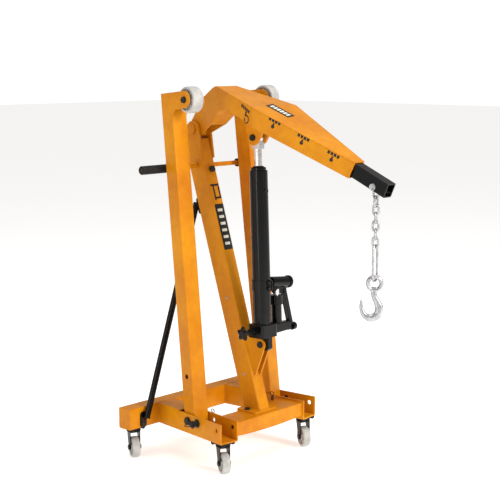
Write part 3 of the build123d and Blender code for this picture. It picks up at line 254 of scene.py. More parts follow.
class Piece:
    """One mesh put together from turned, six-sided, swept and flat shapes."""

    def __init__(self):
        self.points = []
        self.faces = []

    def add(self, points, faces, frame_at=None):
        start = len(self.points)
        self.points += [frame_at @ Vector(point) if frame_at else Vector(point) for point in points]
        self.faces += [[index + start for index in face] for face in faces]

    def skin(self, rings, closed, caps, frame_at=None):
        count = len(rings[0])
        faces = []
        for row in range(len(rings) if closed else len(rings) - 1):
            low, high = row * count, (row + 1) % len(rings) * count
            for k in range(count):
                n = (k + 1) % count
                faces.append((low + k, low + n, high + n, high + k))
        if caps:
            faces.append(list(range(count))[::-1])
            faces.append([(len(rings) - 1) * count + k for k in range(count)])
        self.add([point for ring in rings for point in ring], faces, frame_at)

    def turned(self, frame_at, profile, steps=40, lobes=0, swell=0.0):
        """Turn (radius, height) points; a profile that ends on the axis is capped, else it is a loop."""
        solid = profile[0][0] == 0
        rows = [(r, z) for r, z in profile if r > 0]
        turns = round_turns(steps)
        rings = []
        for r, z in rows:
            reach = [r * (1 + swell * cos(lobes * t)) if lobes else r for t in turns]
            rings.append([(q * cos(t), q * sin(t), z) for q, t in zip(reach, turns)])
        self.skin(rings, not solid, solid, frame_at)

    def six_sided(self, frame_at, flat, low, high):
        """A nut or bolt head: six flats, and a chamfer turned round its outer end."""
        turns = round_turns(48)
        reach = [flat / cos((t + pi / 6) % (pi / 3) - pi / 6) for t in turns]
        crown = 0.95 * flat
        rings = [
            [(q * cos(t), q * sin(t), low) for q, t in zip(reach, turns)],
            [(q * cos(t), q * sin(t), high - (q - crown) * 0.5) for q, t in zip(reach, turns)],
            [(crown * cos(t), crown * sin(t), high) for t in turns],
            [(0.9 * crown * cos(t), 0.9 * crown * sin(t), high - 0.3) for t in turns],
        ]
        self.skin(rings, False, True, frame_at)

    def swept(self, path, radius, sides=10, closed=False, flat=1.0):
        """A round bar along a path; radius is one number or one for each point."""
        path = [Vector(point) for point in path]
        radii = radius if isinstance(radius, list) else [radius] * len(path)
        rings = []
        side = None
        for k, point in enumerate(path):
            ahead = path[(k + 1) % len(path)] if closed or k + 1 < len(path) else point
            behind = path[k - 1] if closed or k else point
            along = (ahead - behind).normalized()
            if side is None:
                side = along.orthogonal().normalized()
            side = (side - side.dot(along) * along).normalized()
            other = along.cross(side)
            turns = round_turns(sides)
            rings.append([point + radii[k] * (cos(t) * side + flat * sin(t) * other) for t in turns])
        self.skin(rings, closed, not closed)

    def weld(self, corners, size, closed=False):
        """A fillet of overlapping weld ripples along straight runs between corners."""
        corners = [Vector(corner) for corner in corners]
        if closed:
            corners.append(corners[0])
        path = []
        for start, end in zip(corners, corners[1:]):
            steps = max(2, int((end - start).length / 1.6))
            path += [start.lerp(end, k / steps) for k in range(steps)]
        path.append(corners[-1])
        radii = [size * (0.86 + 0.22 * abs(sin(0.75 * k)) + 0.10 * noise.noise(point * 0.15))
                 for k, point in enumerate(path)]
        if len(path) > 3:
            self.swept(path, radii, 8)

    def slab(self, frame_at, outline, thick, bevel=0.4):
        """A thin plate on a frame's XY plane with a softened upper edge."""
        middle = sum((Vector((x, y)) for x, y in outline), Vector((0, 0))) / len(outline)
        inner = []
        for x, y in outline:
            pull = middle - Vector((x, y))
            inner.append(Vector((x, y)) + pull.normalized() * min(bevel, pull.length / 2))
        rings = [
            [(x, y, 0) for x, y in outline],
            [(x, y, thick - bevel) for x, y in outline],
            [(x, y, thick) for x, y in inner],
        ]
        self.skin(rings, False, True, frame_at)

    def build(self, name, material, body, replaces=(), angle=32):
        """Make the mesh object; it rides on a body and may take the place of CAD nodes."""
        mesh = bpy.data.meshes.new(name)
        mesh.from_pydata([point * MM for point in self.points], [], self.faces)
        shape = bmesh.new()
        shape.from_mesh(mesh)
        bmesh.ops.recalc_face_normals(shape, faces=shape.faces)
        shape.to_mesh(mesh)
        shape.free()
        for face in mesh.polygons:
            face.use_smooth = True
        mesh.set_sharp_from_angle(angle=radians(angle))
        mesh.materials.append(material)
        made = bpy.data.objects.new(name, mesh)
        scene.collection.objects.link(made)
        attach(made, body)
        if replaces:
            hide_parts(*replaces)
        return made


def box_mm(node):
    """Low and high corner of a CAD node, in millimetres."""
    low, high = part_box(node)
    return low / MM, high / MM


def middle_mm(node):
    low, high = box_mm(node)
    return (low + high) / 2


def joint_at(name):
    """A joint's place in millimetres and its axis."""
    joint = joints[name]
    return Vector(joint["pos_m"]) / MM, Vector(joint["axis"]).normalized()


def rounded_box(width, height, corner, steps=5):
    """Outline of a rectangle with round corners, about the origin."""
    points = []
    for sx, sy, start in ((1, 1, 0), (-1, 1, 90), (-1, -1, 180), (1, -1, 270)):
        for k in range(steps + 1):
            t = radians(start + 90 * k / steps)
            points.append((sx * (width / 2 - corner) + corner * cos(t),
                           sy * (height / 2 - corner) + corner * sin(t)))
    return points


def round_turns(steps):
    """Evenly spaced angles of one turn."""
    return [2 * pi * k / steps for k in range(steps)]


def inward_from(side):
    """Level direction from a leg's outer side (1 left, -1 right) to its inner side."""
    return Vector((sin(SPLAY), -side * cos(SPLAY), 0))


def smoothed(rows, steps):
    """Rows of numbers joined by a smooth curve that passes through each of them."""
    curve = []
    for before, start, end, after in zip([rows[0]] + rows, rows, rows[1:], rows[2:] + [rows[-1]]):
        for step in range(steps):
            t = step / steps
            curve.append([0.5 * (2 * q + (r - p) * t + (2 * p - 5 * q + 4 * r - w) * t * t
                                 + (3 * q - p - 3 * r + w) * t ** 3)
                          for p, q, r, w in zip(before, start, end, after)])
    curve.append(list(rows[-1]))
    return curve


# ---------------------------------------------------------------- fasteners


def bolt(piece, origin, axis, shank, length, flat, head, nut=None, across=(0, 0, 1)):
    """Head and washer behind the origin, threaded shank along the axis, and a nut at (start, thickness)."""
    axis = Vector(axis)
    back = placed(origin, -axis, across)
    washer = [(shank, 0), (flat * 1.16, 0), (flat * 1.2, 0.4), (flat * 1.2, 1.2), (flat * 1.14, 1.5), (shank, 1.5)]
    piece.turned(back, washer)
    piece.six_sided(back, flat, 1.5, head)
    rod = [(0, -1), (shank, -1), (shank, length * 0.6)]
    place = length * 0.6
    while place < length - 2.5:
        rod += [(shank, place + 0.5), (shank * 0.93, place + 1.0), (shank, place + 1.5)]
        place += 1.5
    rod += [(shank * 0.86, length), (0, length)]
    piece.turned(placed(origin, axis, across), rod, 28)
    if nut:
        front = placed(Vector(origin) + axis * nut[0], axis, across)
        piece.turned(front, washer)
        piece.six_sided(front, flat, 1.5, nut[1])


SIDES = ((1, "left"), (-1, "right"))

pivot_at, _ = joint_at("boom_lift")
cap = Piece()
bolt(cap, (pivot_at.x, -33, pivot_at.z), (0, 1, 0), shank=10, length=83, flat=15, head=8,
     nut=(66, 14))
cap.build("boom_pivot_bolt_detail", ORANGE, "frame", ["boom_pivot_bolt"])

base_at, _ = joint_at("ram_tilt")
cap = Piece()
bolt(cap, (base_at.x, -16, base_at.z), (0, 1, 0), shank=7, length=40, flat=10, head=5.6,
     nut=(32, 7))
cap.build("ram_base_pin_detail", BOLT, "frame", ["ram_base_pin"])

legs = Piece()
for side, hand in SIDES:
    at, _ = joint_at(f"leg_fold_{hand}")
    inward = inward_from(side)
    bolt(legs, at - inward * 38, inward, shank=8, length=92, flat=12, head=9, nut=(76, 12))
legs.build("leg_pivot_bolts_detail", BOLT, "frame", ["leg_pivot_bolts"])

at = middle_mm("ram_top_bolts")
cap = Piece()
for side in (1, -1):
    bolt(cap, (at.x, side * 23, at.z), (0, -side, 0), shank=8, length=8, flat=9.6, head=8)
cap.build("ram_top_bolts_detail", BOLT, "boom", ["ram_top_bolts"])

hang_at = middle_mm("chain_bolt")
cap = Piece()
bolt(cap, (hang_at.x, -20, hang_at.z), (0, 1, 0), shank=6, length=52, flat=9.5, head=5,
     nut=(40, 8))
cap.build("chain_bolt_detail", ZINC, "extension", ["chain_bolt"])

ram_up = Vector(joints["rod_extend"]["axis"]).normalized()
ram_x = Vector((ram_up.z, 0, -ram_up.x))


def ram_point(x, y, up):
    """A place by its distances forward, left and up the ram from the ram's base pin."""
    return base_at + ram_x * x + Vector((0, y, 0)) + ram_up * up


cap = Piece()
bolt(cap, ram_point(31, 0, 532), -ram_x, shank=5, length=3, flat=7, head=6)
cap.build("filler_plug_detail", BOLT, "ram", ["filler_plug"])

for side, hand in SIDES:
    at, _ = joint_at(f"leg_roller_turn_{hand}")
    inward = inward_from(side)
    cap = Piece()
    bolt(cap, at - inward * 30, inward, shank=6, length=69, flat=9.5, head=7, nut=(60, 6))
    cap.build(f"roller_axle_{hand}_detail", BOLT, f"leg_{hand}", [f"roller_axle_{hand}"])

caster_at = {name: joint_at(f"caster_swivel_{name}")[0]
             for name in ("rear_left", "rear_right", "front_left", "front_right")}
mast_out = Vector((cos(LEAN), 0, sin(LEAN)))
mast_up = Vector((-sin(LEAN), 0, cos(LEAN)))
foot_at = Vector((-70.3, 0, FLOOR_OF_MAST))
deck = box_mm("side_channel_left")[0].z


def up_mast(z):
    """The place on the front face of the mast's post, on its middle line, at a height."""
    return foot_at + mast_up * ((z - FLOOR_OF_MAST) / cos(LEAN))


def mast_x(z):
    """X of the front face of the mast's post at a height."""
    return foot_at.x - (z - FLOOR_OF_MAST) * tan(LEAN)



small = Piece()
for at in caster_at.values():
    for sx in (-24, 24):
        for sy in (-24, 24):
            bolt(small, (at.x + sx, at.y + sy, deck - 4), (0, 0, 1),
                 shank=3, length=3.5, flat=5, head=5, across=(1, 0, 0))
foot_low, foot_high = box_mm("mast_foot_plate")
beam_front = box_mm("rear_crossbeam")[1].x
for side in (1, -1):
    bolt(small, (-115.4, side * 42, foot_high.z), (0, 0, -1), shank=5, length=7, flat=8.5, head=6,
         across=(1, 0, 0))
    bolt(small, (beam_front + 6, side * 286, 121), (-1, 0, 0), shank=4.5, length=7, flat=7.5, head=5)
    tab = up_mast(880) - mast_out * POST_DEPTH + mast_up * 4 + Vector((0, side * 14, 0))
    bolt(small, tab - mast_out * 6, mast_out, shank=4, length=7, flat=6.5, head=5)
small.build("frame_bolts_detail", BOLT, "frame", ["frame_bolts"])

screws = Piece()
for up in (569, 308):
    spot = up_mast(up) - mast_out * 38
    dome = [(0, -2), (5, -2), (5, 0.4), (4.4, 1.5), (2.8, 2.4), (1.0, 2.8), (0, 2.8)]
    for side in (1, -1):
        screws.turned(placed((spot.x, side * 25, spot.z), (0, side, 0)), dome, 24)
screws.build("mast_side_rivets", ZINC, "frame")

# ---------------------------------------------------------------- wheels and rollers


def wheel_rings(radius, width, bore, hub, rim):
    """Loop profile of a moulded wheel: crowned tread, recessed webs, raised hub."""
    half = width / 2
    right = [
        (bore, half - 0.6), (bore + 0.8, half), (hub - 1.2, half), (hub, half - 1.2), (hub + 0.6, half - 6.5),
        (rim - 1.2, half - 7.0), (rim, half - 1.6), (rim + 1.4, half - 0.4), (radius - 6, half - 0.2),
        (radius - 2.6, half - 1.2), (radius - 0.9, half - 3.4), (radius - 0.3, half - 6.5), (radius, 0.01),
    ]
    return right + [(r, -z) for r, z in reversed(right)]


def wheel(name, joint, radius, width, bore, hub, rim, spokes, cover):
    """A moulded wheel with ribs in its webs, and a steel cover over each bearing."""
    _, axis = joint_at(joint)
    middle = middle_mm(name)
    base = placed(middle, axis)
    made = Piece()
    made.turned(base, wheel_rings(radius, width, bore, hub, rim)[::-1], 72)
    for face in (1, -1):
        for k in range(spokes):
            turn = 2 * pi * k / spokes
            rib = base @ Matrix.Rotation(turn, 4, "Z") @ Matrix.Translation((0, 0, face * (width / 2 - 5.2)))
            made.slab(rib @ Matrix.Rotation(0 if face > 0 else pi, 4, "X"),
                      [(hub - 1, -1.3), (rim, -1.3), (rim, 1.3), (hub - 1, 1.3)], 3.2, 0.5)
    made.build(f"{name}_moulded", NYLON, name, [name])
    bearing = Piece()
    for face in (1, -1):
        end = placed(middle, axis * face)
        high = width / 2 + 0.5
        bearing.turned(end, [(bore + 0.2, high - 2), (cover, high - 2), (cover, high - 0.8), (cover - 0.8, high),
                             (cover - 2.6, high), (cover - 3.0, high - 0.5), (bore + 1.4, high - 0.5),
                             (bore + 0.2, high - 0.1)], 40)
    bearing.build(f"{name}_bearing_covers", ZINC, name)


for name in caster_at:
    wheel(f"caster_wheel_{name}", f"caster_roll_{name}",
          radius=37.5, width=28, bore=6.1, hub=12, rim=27.5, spokes=6, cover=10.5)
for hand in ("left", "right"):
    wheel(f"leg_roller_{hand}", f"leg_roller_turn_{hand}",
          radius=44, width=44, bore=6.1, hub=14, rim=35, spokes=8, cover=12)

for name, at in caster_at.items():
    roll_at, roll_axis = joint_at(f"caster_roll_{name}")
    axle = Piece()
    for face in (1, -1):
        end = placed(roll_at, roll_axis * face)
        axle.turned(end, [(5, 19), (10, 19), (10.4, 19.4), (10.2, 20.4), (5, 20.4)], 32)
        axle.six_sided(end, 7.4, 20.4, 23.5)
    axle.build(f"caster_axle_nuts_{name}", BOLT, f"caster_fork_{name}")
    race = Piece()
    race.turned(placed((at.x, at.y, deck), (0, 0, 1)), [
        (20, -16.9), (24.0, -16.6), (25.2, -15.2), (25.2, -12.8), (24.4, -11.6), (20, -11.4)], 48)
    race.turned(placed((at.x, at.y, deck), (0, 0, -1)), [
        (0, 16), (8.5, 16), (9, 17), (8.6, 18.8), (6.8, 20), (0, 20)], 32)
    race.build(f"caster_ball_race_{name}", CASTER, f"caster_fork_{name}")

# ---------------------------------------------------------------- grips, knobs, lock pins and clips

grip_low, grip_high = box_mm("push_grips")
bar_at = (grip_low + grip_high) / 2
grips = Piece()
for side in (1, -1):
    profile = [(8.05, 0), (13.2, 0), (15.0, 1.5), (15.0, 6), (13.8, 8)]
    for rib in range(15):
        start = 9 + rib * 6.4
        profile += [(13.4, start), (14.7, start + 1.2), (15.0, start + 2.6), (14.7, start + 4.0),
                    (13.4, start + 5.2)]
    profile += [(14.2, 106), (15.0, 108), (15.0, 111), (13.6, 113.2), (9, 114), (4, 114), (4, 112.6), (3.9, 111),
                (8.05, 111)]
    grips.turned(placed((bar_at.x, side * 175, bar_at.z), (0, side, 0)), profile, 40)
grips.build("push_grips_ribbed", RUBBER, "frame", ["push_grips"])

knob_at = up_mast(1012) - mast_up * 12
knob = Piece()
knob_face = placed(knob_at, mast_out)
knob.turned(knob_face, [(0, -16), (5, -16), (5, 0.3), (7, 0.3), (7, 5), (5, 5), (5, 6), (0, 6)], 32)
knob.turned(knob_face, [
    (0, 4.4), (8, 4.4), (10.2, 5.4), (11.0, 7), (11.0, 11), (10.2, 12.8), (8.4, 13.8), (6.4, 14), (5.8, 13.2),
    (0, 13.0)], steps=96, lobes=12, swell=0.045)
knob.build("mast_knob_moulded", KNOB, "mast_knob", ["mast_knob"])

star = Piece()
stem = placed(ram_point(0, 0, 52), (0, -1, 0))
star.turned(stem, [(0, 32), (5, 32), (5, 94), (0, 94)], 32)
star.six_sided(stem, 11, 58.3, 68)
star.turned(stem, [(5, 68), (8.6, 68), (8.6, 70.0), (7.6, 71), (5, 71)], 32)
star.turned(stem, [
    (0, 93), (14, 93), (18.5, 94), (20.8, 96), (21.6, 99), (21.2, 102), (19.4, 104.6), (16, 106.2), (9, 107),
    (8.2, 106.0), (0, 105.6)], steps=100, lobes=5, swell=0.19)
star.build("release_knob_star", BLACK, "release_knob", ["release_knob"])

for side, hand in SIDES:
    pin = Piece()
    stem = placed((-171.79, side * 230.53, 158), -inward_from(side))
    pin.turned(stem, [
        (0, -5), (7, -5), (8, -4), (8, 0.3), (12.6, 0.3), (14, 1.2), (14, 3.4), (12.8, 4.3), (8, 4.3), (8, 20),
        (12.8, 20), (14, 20.8), (14, 23.2), (12.8, 24), (8, 24), (8, 28.6), (6.6, 30), (0, 30)], 44)
    coil = []
    for k in range(COILS * 24):
        turn = 2 * pi * k / 24
        coil.append(stem @ Vector((SPRING_MIDDLE * cos(turn), SPRING_MIDDLE * sin(turn),
                                   5.4 + 13.6 * k / (COILS * 24))))
    pin.swept(coil, 1.0, 8)
    pin.swept([stem @ Vector((0, PULL_RING * sin(t), 39 - PULL_RING * cos(t))) for t in round_turns(48)],
              1.6, 10, True)
    pin.build(f"lock_pin_{hand}_sprung", BOLT, f"lock_pin_{hand}", [f"lock_pin_{hand}"])

# An R-clip's wire in side view: up one leg, round the coil, and down the wavy leg.
CLIP_BENDS = [(3, -17), (3, -8), (3.2, 0), (-2, 5), (-7.5, 9), (-7, 14), (-2, 17), (4, 16), (7.5, 11.5),
              (6.5, 6), (1, 2.5), (-2.4, -2), (-3, -6), (-1.5, -9), (-3, -12), (-6.5, -15)]
clips = Piece()
for side in (1, -1):
    spot = Vector((-175.1, side * 152.4, 175.0))
    along = Vector((cos(SPLAY), side * sin(SPLAY), 0))
    bends = []
    for x, z in CLIP_BENDS:
        bends.append(spot + along * x + Vector((0, 0, z)))
    clips.swept(smoothed(bends, 5), 1.3, 10)
clips.build("lock_clips_wire", BOLT, "frame", ["lock_clips"])

# ---------------------------------------------------------------- chain and hook

# Each link of the chain's mesh is found by walking its edges; a butt weld goes on one of its long sides.
link_shape = bmesh.new()
link_shape.from_mesh(nodes["chain_links"].data)
bmesh.ops.remove_doubles(link_shape, verts=link_shape.verts, dist=0.00002)
link_shape.verts.index_update()
link_shape.verts.ensure_lookup_table()
left_over = dict.fromkeys(range(len(link_shape.verts)))
flashes = Piece()
while left_over:
    first = next(iter(left_over))
    del left_over[first]
    stack = [link_shape.verts[first]]
    group = []
    while stack:
        vert = stack.pop()
        group.append(vert.co / MM)
        for edge in vert.link_edges:
            other = edge.other_vert(vert)
            if other.index in left_over:
                del left_over[other.index]
                stack.append(other)
    centre = sum(group, Vector()) / len(group)
    xx = sum((p.x - centre.x) ** 2 for p in group)
    yy = sum((p.y - centre.y) ** 2 for p in group)
    xy = sum((p.x - centre.x) * (p.y - centre.y) for p in group)
    turn = 0.5 * atan2(2 * xy, xx - yy)
    across = Vector((cos(turn), sin(turn), 0))
    half = max((p - centre).dot(across) for p in group)
    spot = centre + across * (half - WIRE)
    spot.z = centre.z
    flashes.turned(placed(spot, (0, 0, 1)), [
        (0, -2.4), (3.4, -2.4), (3.75, -1.4), (4.05, -0.5), (3.95, 0.3), (4.0, 0.8), (3.7, 1.6), (3.4, 2.5),
        (0, 2.5)], 28)
link_shape.free()
flashes.build("chain_weld_flash", ZINC, "chain")

_, hook_high = box_mm("hook")
eye_at = Vector((hang_at.x, 0, hook_high.z - EYE_RADIUS))
hook_x = Vector((cos(FACING), sin(FACING), 0))
hook_n = Vector((sin(FACING), -cos(FACING), 0))


def hook_point(x, y, out=0.0):
    """A place by its distances along, up and out of the hook's flat side from the eye's middle."""
    return eye_at + hook_x * x + Vector((0, 0, y)) + hook_n * out


# The forged bar's middle line from the eye to the point: x, y, half width and half thickness.
SPINE = [(0.0, -12, 8.0, 5.6), (-1.5, -24, 9.0, 6.4), (-0.5, -42, 9.0, 7.2), (8.5, -60, 10.6, 7.8),
         (15.6, -80, 13.0, 8.4), (10, -101, 13.2, 8.8), (-11, -111.5, 12.0, 8.6), (-31, -102, 9.0, 7.2),
         (-41.4, -79, 6.2, 5.6), (-41.6, -62, 4.2, 4.4), (-41.0, -53.4, 2.6, 3.4)]
rows = smoothed(SPINE, 10)
forged = Piece()
rings = []
for k, (x, y, wide, thick) in enumerate(rows):
    ahead = rows[min(k + 1, len(rows) - 1)]
    behind = rows[max(k - 1, 0)]
    direction = Vector((ahead[0] - behind[0], ahead[1] - behind[1])).normalized()
    aside = Vector((-direction.y, direction.x))
    ring = []
    for turn in round_turns(28):
        u = wide * (abs(cos(turn)) ** 0.82) * (1 if cos(turn) > 0 else -1)
        v = thick * (abs(sin(turn)) ** 0.9) * (1 if sin(turn) > 0 else -1)
        ring.append(hook_point(x + aside.x * u, y + aside.y * u, v))
    rings.append(ring)
forged.skin(rings, False, True)
eye = []
for turn in round_turns(72):
    reaches = [(EYE_MIDDLE + EYE_BAR * cos(t), EYE_BAR * sin(t)) for t in round_turns(24)]
    eye.append([hook_point(reach * cos(turn), reach * sin(turn), out) for reach, out in reaches])
forged.skin(eye, True, False)
hook_piece = forged.build("hook_forged", ZINC, "hook", ["hook"])
remesh = hook_piece.modifiers.new("blend", "REMESH")
remesh.mode = "VOXEL"
remesh.voxel_size = 0.0009
remesh.use_smooth_shade = True
relax = hook_piece.modifiers.new("relax", "SMOOTH")
relax.factor = 0.5
relax.iterations = 8
bpy.context.view_layer.update()
blended = bpy.data.meshes.new_from_object(hook_piece.evaluated_get(bpy.context.evaluated_depsgraph_get()))
hook_piece.modifiers.clear()
hook_piece.data = blended
blended.materials.clear()
blended.materials.append(ZINC)

# ---------------------------------------------------------------- weld beads

frame_welds = Piece()
back_x = foot_at.x - POST_DEPTH / cos(LEAN)
frame_welds.weld([(foot_at.x, -POST_HALF, foot_high.z), (foot_at.x, POST_HALF, foot_high.z),
                  (back_x, POST_HALF, foot_high.z), (back_x, -POST_HALF, foot_high.z)], 2.6, True)
cross_low, cross_high = box_mm("front_crossbeam")
frame_welds.weld([(foot_low.x + 6, foot_low.y, cross_high.z), (foot_high.x - 6, foot_low.y, cross_high.z)], 2.2)
frame_welds.weld([(foot_low.x + 6, foot_high.y, cross_high.z), (foot_high.x - 6, foot_high.y, cross_high.z)], 2.2)


CHANNEL_INNER, CHANNEL_OUTER = 130.225, 205.75     # Y of a side channel's faces at the rear beam


def inner_y(x):
    """Y of a side channel's inner face at an X."""
    return CHANNEL_INNER + (x + 383.915) * tan(SPLAY)


for side in (1, -1):
    rear_y, front_y = inner_y(cross_low.x), inner_y(cross_high.x)
    frame_welds.weld([(cross_low.x, side * rear_y, cross_high.z), (cross_high.x, side * front_y, cross_high.z),
                      (cross_high.x, side * front_y, 126)], 2.4)
    frame_welds.weld([(cross_low.x, side * rear_y, cross_high.z), (cross_low.x, side * rear_y, 124)], 2.4)
    for shift, y, top, size in ((0, CHANNEL_OUTER, 181, 2.4), (1, CHANNEL_INNER, 181, 2.4)):
        frame_welds.weld([(beam_front + shift, side * y, deck + 2), (beam_front + shift, side * y, top)], size)
    frame_welds.weld([(beam_front - 1, side * (CHANNEL_OUTER - 4), 183.6),
                      (beam_front - 1, side * (CHANNEL_INNER + 4), 183.6)], 1.8)
    # head cheeks: front edge, rear edge and lower edge against the post
    frame_welds.weld([(mast_x(z) + 1, side * 25.5, z) for z in (1042, 1096)], 2.4)
    frame_welds.weld([(mast_x(z) - 81.2, side * 25.5, z) for z in (1042, 1084)], 2.4)
    frame_welds.weld([(mast_x(1040) - 76, side * 25.6, 1039), (mast_x(1040) - 2, side * 25.6, 1039)], 2.4)
    # ram bracket plates on the post's front face
    frame_welds.weld([(mast_x(z) + 0.6, side * 16.8, z) for z in (292, 430)], 2.2)
    frame_welds.weld([(mast_x(z) + 0.6, side * 9.2, z) for z in (292, 430)], 1.8)
    # end plate of the rear beam
    end, x0, x1 = side * 338.1, beam_front - 56, beam_front - 2
    frame_welds.weld([(x0, end, deck + 2), (x1, end, deck + 2), (x1, end, 182), (x0, end, 182)], 2.0, True)
top_line = foot_at + mast_up * 970
for side in (1, -1):
    beside = Vector((0, side * 23.6, 0))
    frame_welds.weld([top_line - mast_out * 3 + beside, top_line - mast_out * 73 + beside], 1.8)
frame_welds.build("frame_weld_beads", ORANGE, "frame")

strut_welds = Piece()
for side in (1, -1):
    start, end = Vector((-377.4, side * 277, 145)), Vector((-384.4, side * 18, 880))
    run = (end - start).normalized()
    for place, size in ((start + run * 3, 1.9), (end - run * 6, 1.7)):
        ring = placed(place, run)
        strut_welds.swept([ring @ Vector((11.2 * cos(t), 11.2 * sin(t), 1.2 * sin(3 * t)))
                           for t in round_turns(60)], size, 8, True)
strut_welds.build("strut_weld_beads", BLACK, "frame")

# The boom's side view: corners of its upper and lower edges as (x, z), and its plan.
BOOM_TOP = [(-349.4, 1247), (-275.4, 1286), (-254.4, 1291.5), (-30.4, 1228), (331.65, 1062.68)]
BOOM_UNDER = [(309.55, 1012.32), (-35.4, 1165), (-102.4, 1190), (-190.4, 1212), (-228.4, 1212), (-255.4, 1195),
              (-293.4, 1158)]
NECK_X, WIDE_X, TIP_X = BOOM_TOP[0][0], BOOM_TOP[3][0], BOOM_TOP[4][0]
ROOT_HALF, WIDE_HALF, TIP_HALF = 22.0, 109.0, 23.5
NECK_RUN, REACH_RUN = WIDE_X - NECK_X, TIP_X - WIDE_X
REACH_FALL = BOOM_TOP[3][1] - BOOM_TOP[4][1]


def boom_half(x):
    """Half width of the boom over its side plates at an X."""
    if x < NECK_X:
        return ROOT_HALF
    if x < WIDE_X:
        return ROOT_HALF + (x - NECK_X) / NECK_RUN * (WIDE_HALF - ROOT_HALF)
    return WIDE_HALF - (x - WIDE_X) / REACH_RUN * (WIDE_HALF - TIP_HALF)


boom_welds = Piece()
for side in (1, -1):
    boom_welds.weld([(x, side * (boom_half(x) - 0.6), z - 0.6) for x, z in BOOM_TOP], 1.5)
    boom_welds.weld([(x, side * (boom_half(x) - 0.8), z + 0.8) for x, z in BOOM_UNDER], 1.5)
    for face in (side * 15, side * 23):
        boom_welds.weld([(x, face, z) for x, z in ((-150, 1202), (-102.4, 1189.6), (-42, 1167))], 2.0)
root = placed((pivot_at.x, 0, pivot_at.z), (0, 1, 0))
for side in (1, -1):
    boom_welds.swept([root @ Vector((25.6 * cos(t), 25.6 * sin(t), side * 22.4)) for t in round_turns(90)],
                     [1.5 + 0.3 * abs(sin(0.8 * k)) for k in range(90)], 8, True)
boom_welds.build("boom_weld_beads", ORANGE, "boom")

ram_welds = Piece()


def ring_weld(piece, centre, axis, radius, size, count=110):
    """A rippled weld bead all the way round an axis."""
    base = placed(centre, axis)
    path = [base @ Vector((radius * cos(t), radius * sin(t), 0)) for t in round_turns(count)]
    piece.swept(path, [size * (0.86 + 0.24 * abs(sin(0.9 * k))) for k in range(count)], 8, True)


ring_weld(ram_welds, ram_point(0, 0, 73), ram_up, 31.4, 2.4)
ring_weld(ram_welds, ram_point(0, 73, 66), ram_up, 18.2, 1.8, 70)
ring_weld(ram_welds, ram_point(0, -38, 52), (0, -1, 0), 14.2, 1.5, 60)
ram_welds.weld([ram_point(x, 36.5, 30) for x in (-13, 13)], 1.8)
ram_welds.weld([ram_point(x, 36.5, 65) for x in (-13, 13)], 1.8)
ram_welds.build("ram_weld_beads", BLACK, "ram")

wiper = Piece()
wiper.turned(placed(ram_point(0, 0, 611), ram_up), [
    (13.6, 0), (19, 0), (19.4, 1.2), (18.2, 2.6), (15.4, 3.4), (14.2, 4.8), (13.6, 4.8)], 48)
wiper.build("ram_wiper_ring", RUBBER, "ram")
clamp = Piece()
for up in (198, 218):
    bolt(clamp, ram_point(41, -6, up), (0, 1, 0), shank=2.4, length=16, flat=4.2, head=4, nut=(12, 4))
clamp.build("clamp_band_bolts", BOLT, "ram")

for side, hand in SIDES:
    at, _ = joint_at(f"leg_roller_turn_{hand}")
    forward = Vector((cos(SPLAY) * cos(LEG_TILT), side * sin(SPLAY) * cos(LEG_TILT), sin(LEG_TILT)))
    inward = inward_from(side)
    up = Vector((-cos(SPLAY) * sin(LEG_TILT), -side * sin(SPLAY) * sin(LEG_TILT), cos(LEG_TILT)))
    nose = Piece()
    for inset in (-28.4, 28.4):
        corner = at - forward * 98.4 + inward * inset
        nose.weld([corner + forward * 29.4 - up * 44, corner + forward * 29.4 + up * 28], 2.0)
        nose.weld([corner - forward * 26 + up * 29.2, corner + forward * 26 + up * 29.2], 1.6)
    nose.build(f"leg_{hand}_weld_beads", ORANGE, f"leg_{hand}")

# ---------------------------------------------------------------- plain marks in place of labels

MARK = plastic("black_mark", (0.008, 0.008, 0.008, 1), (0.014, 0.014, 0.014, 1), 0.35, 900.0, 0.00004,
               (0.05, 0.045, 0.04, 1), 0.3)
PALE = plastic("pale_mark", (0.62, 0.60, 0.52, 1), (0.74, 0.72, 0.64, 1), 0.35, 900.0, 0.00004,
               (0.40, 0.36, 0.28, 1), 0.3)


def rectangle(x, y, width, height, corner=1.0):
    return [(x + px, y + py) for px, py in rounded_box(width, height, corner, 3)]


def disc(x, y, radius, steps=24):
    return [(x + radius * cos(t), y + radius * sin(t)) for t in round_turns(steps)]


def mast_face(z, out=0.0):
    """Frame on the post's front face at a height, its X up the post."""
    return placed(up_mast(z) + mast_out * out, mast_out, mast_up)


plates = Piece()
plates.slab(mast_face(803.5, 0.02), rectangle(0, 0, 164, 42, 3), 0.5, 0.2)
plates.slab(mast_face(926, 0.02), rectangle(22, 0, 7, 40), 0.5, 0.2)
plates.slab(mast_face(926, 0.02), rectangle(-6, 8, 52, 7), 0.5, 0.2)
plates.slab(mast_face(926, 0.02), rectangle(-24, -8, 7, 26), 0.5, 0.2)
plates.slab(mast_face(926, 0.02), rectangle(-2, -16.5, 37, 7), 0.5, 0.2)
plates.build("mast_front_marks", MARK, "frame")
bars = Piece()
for k in range(6):
    bars.slab(mast_face(803.5, 0.5), rectangle(-60 + 24 * k, 0, 10, 24, 2), 0.25, 0.1)
bars.build("mast_front_bars", PALE, "frame")

MARK_TIP = radians(-24)


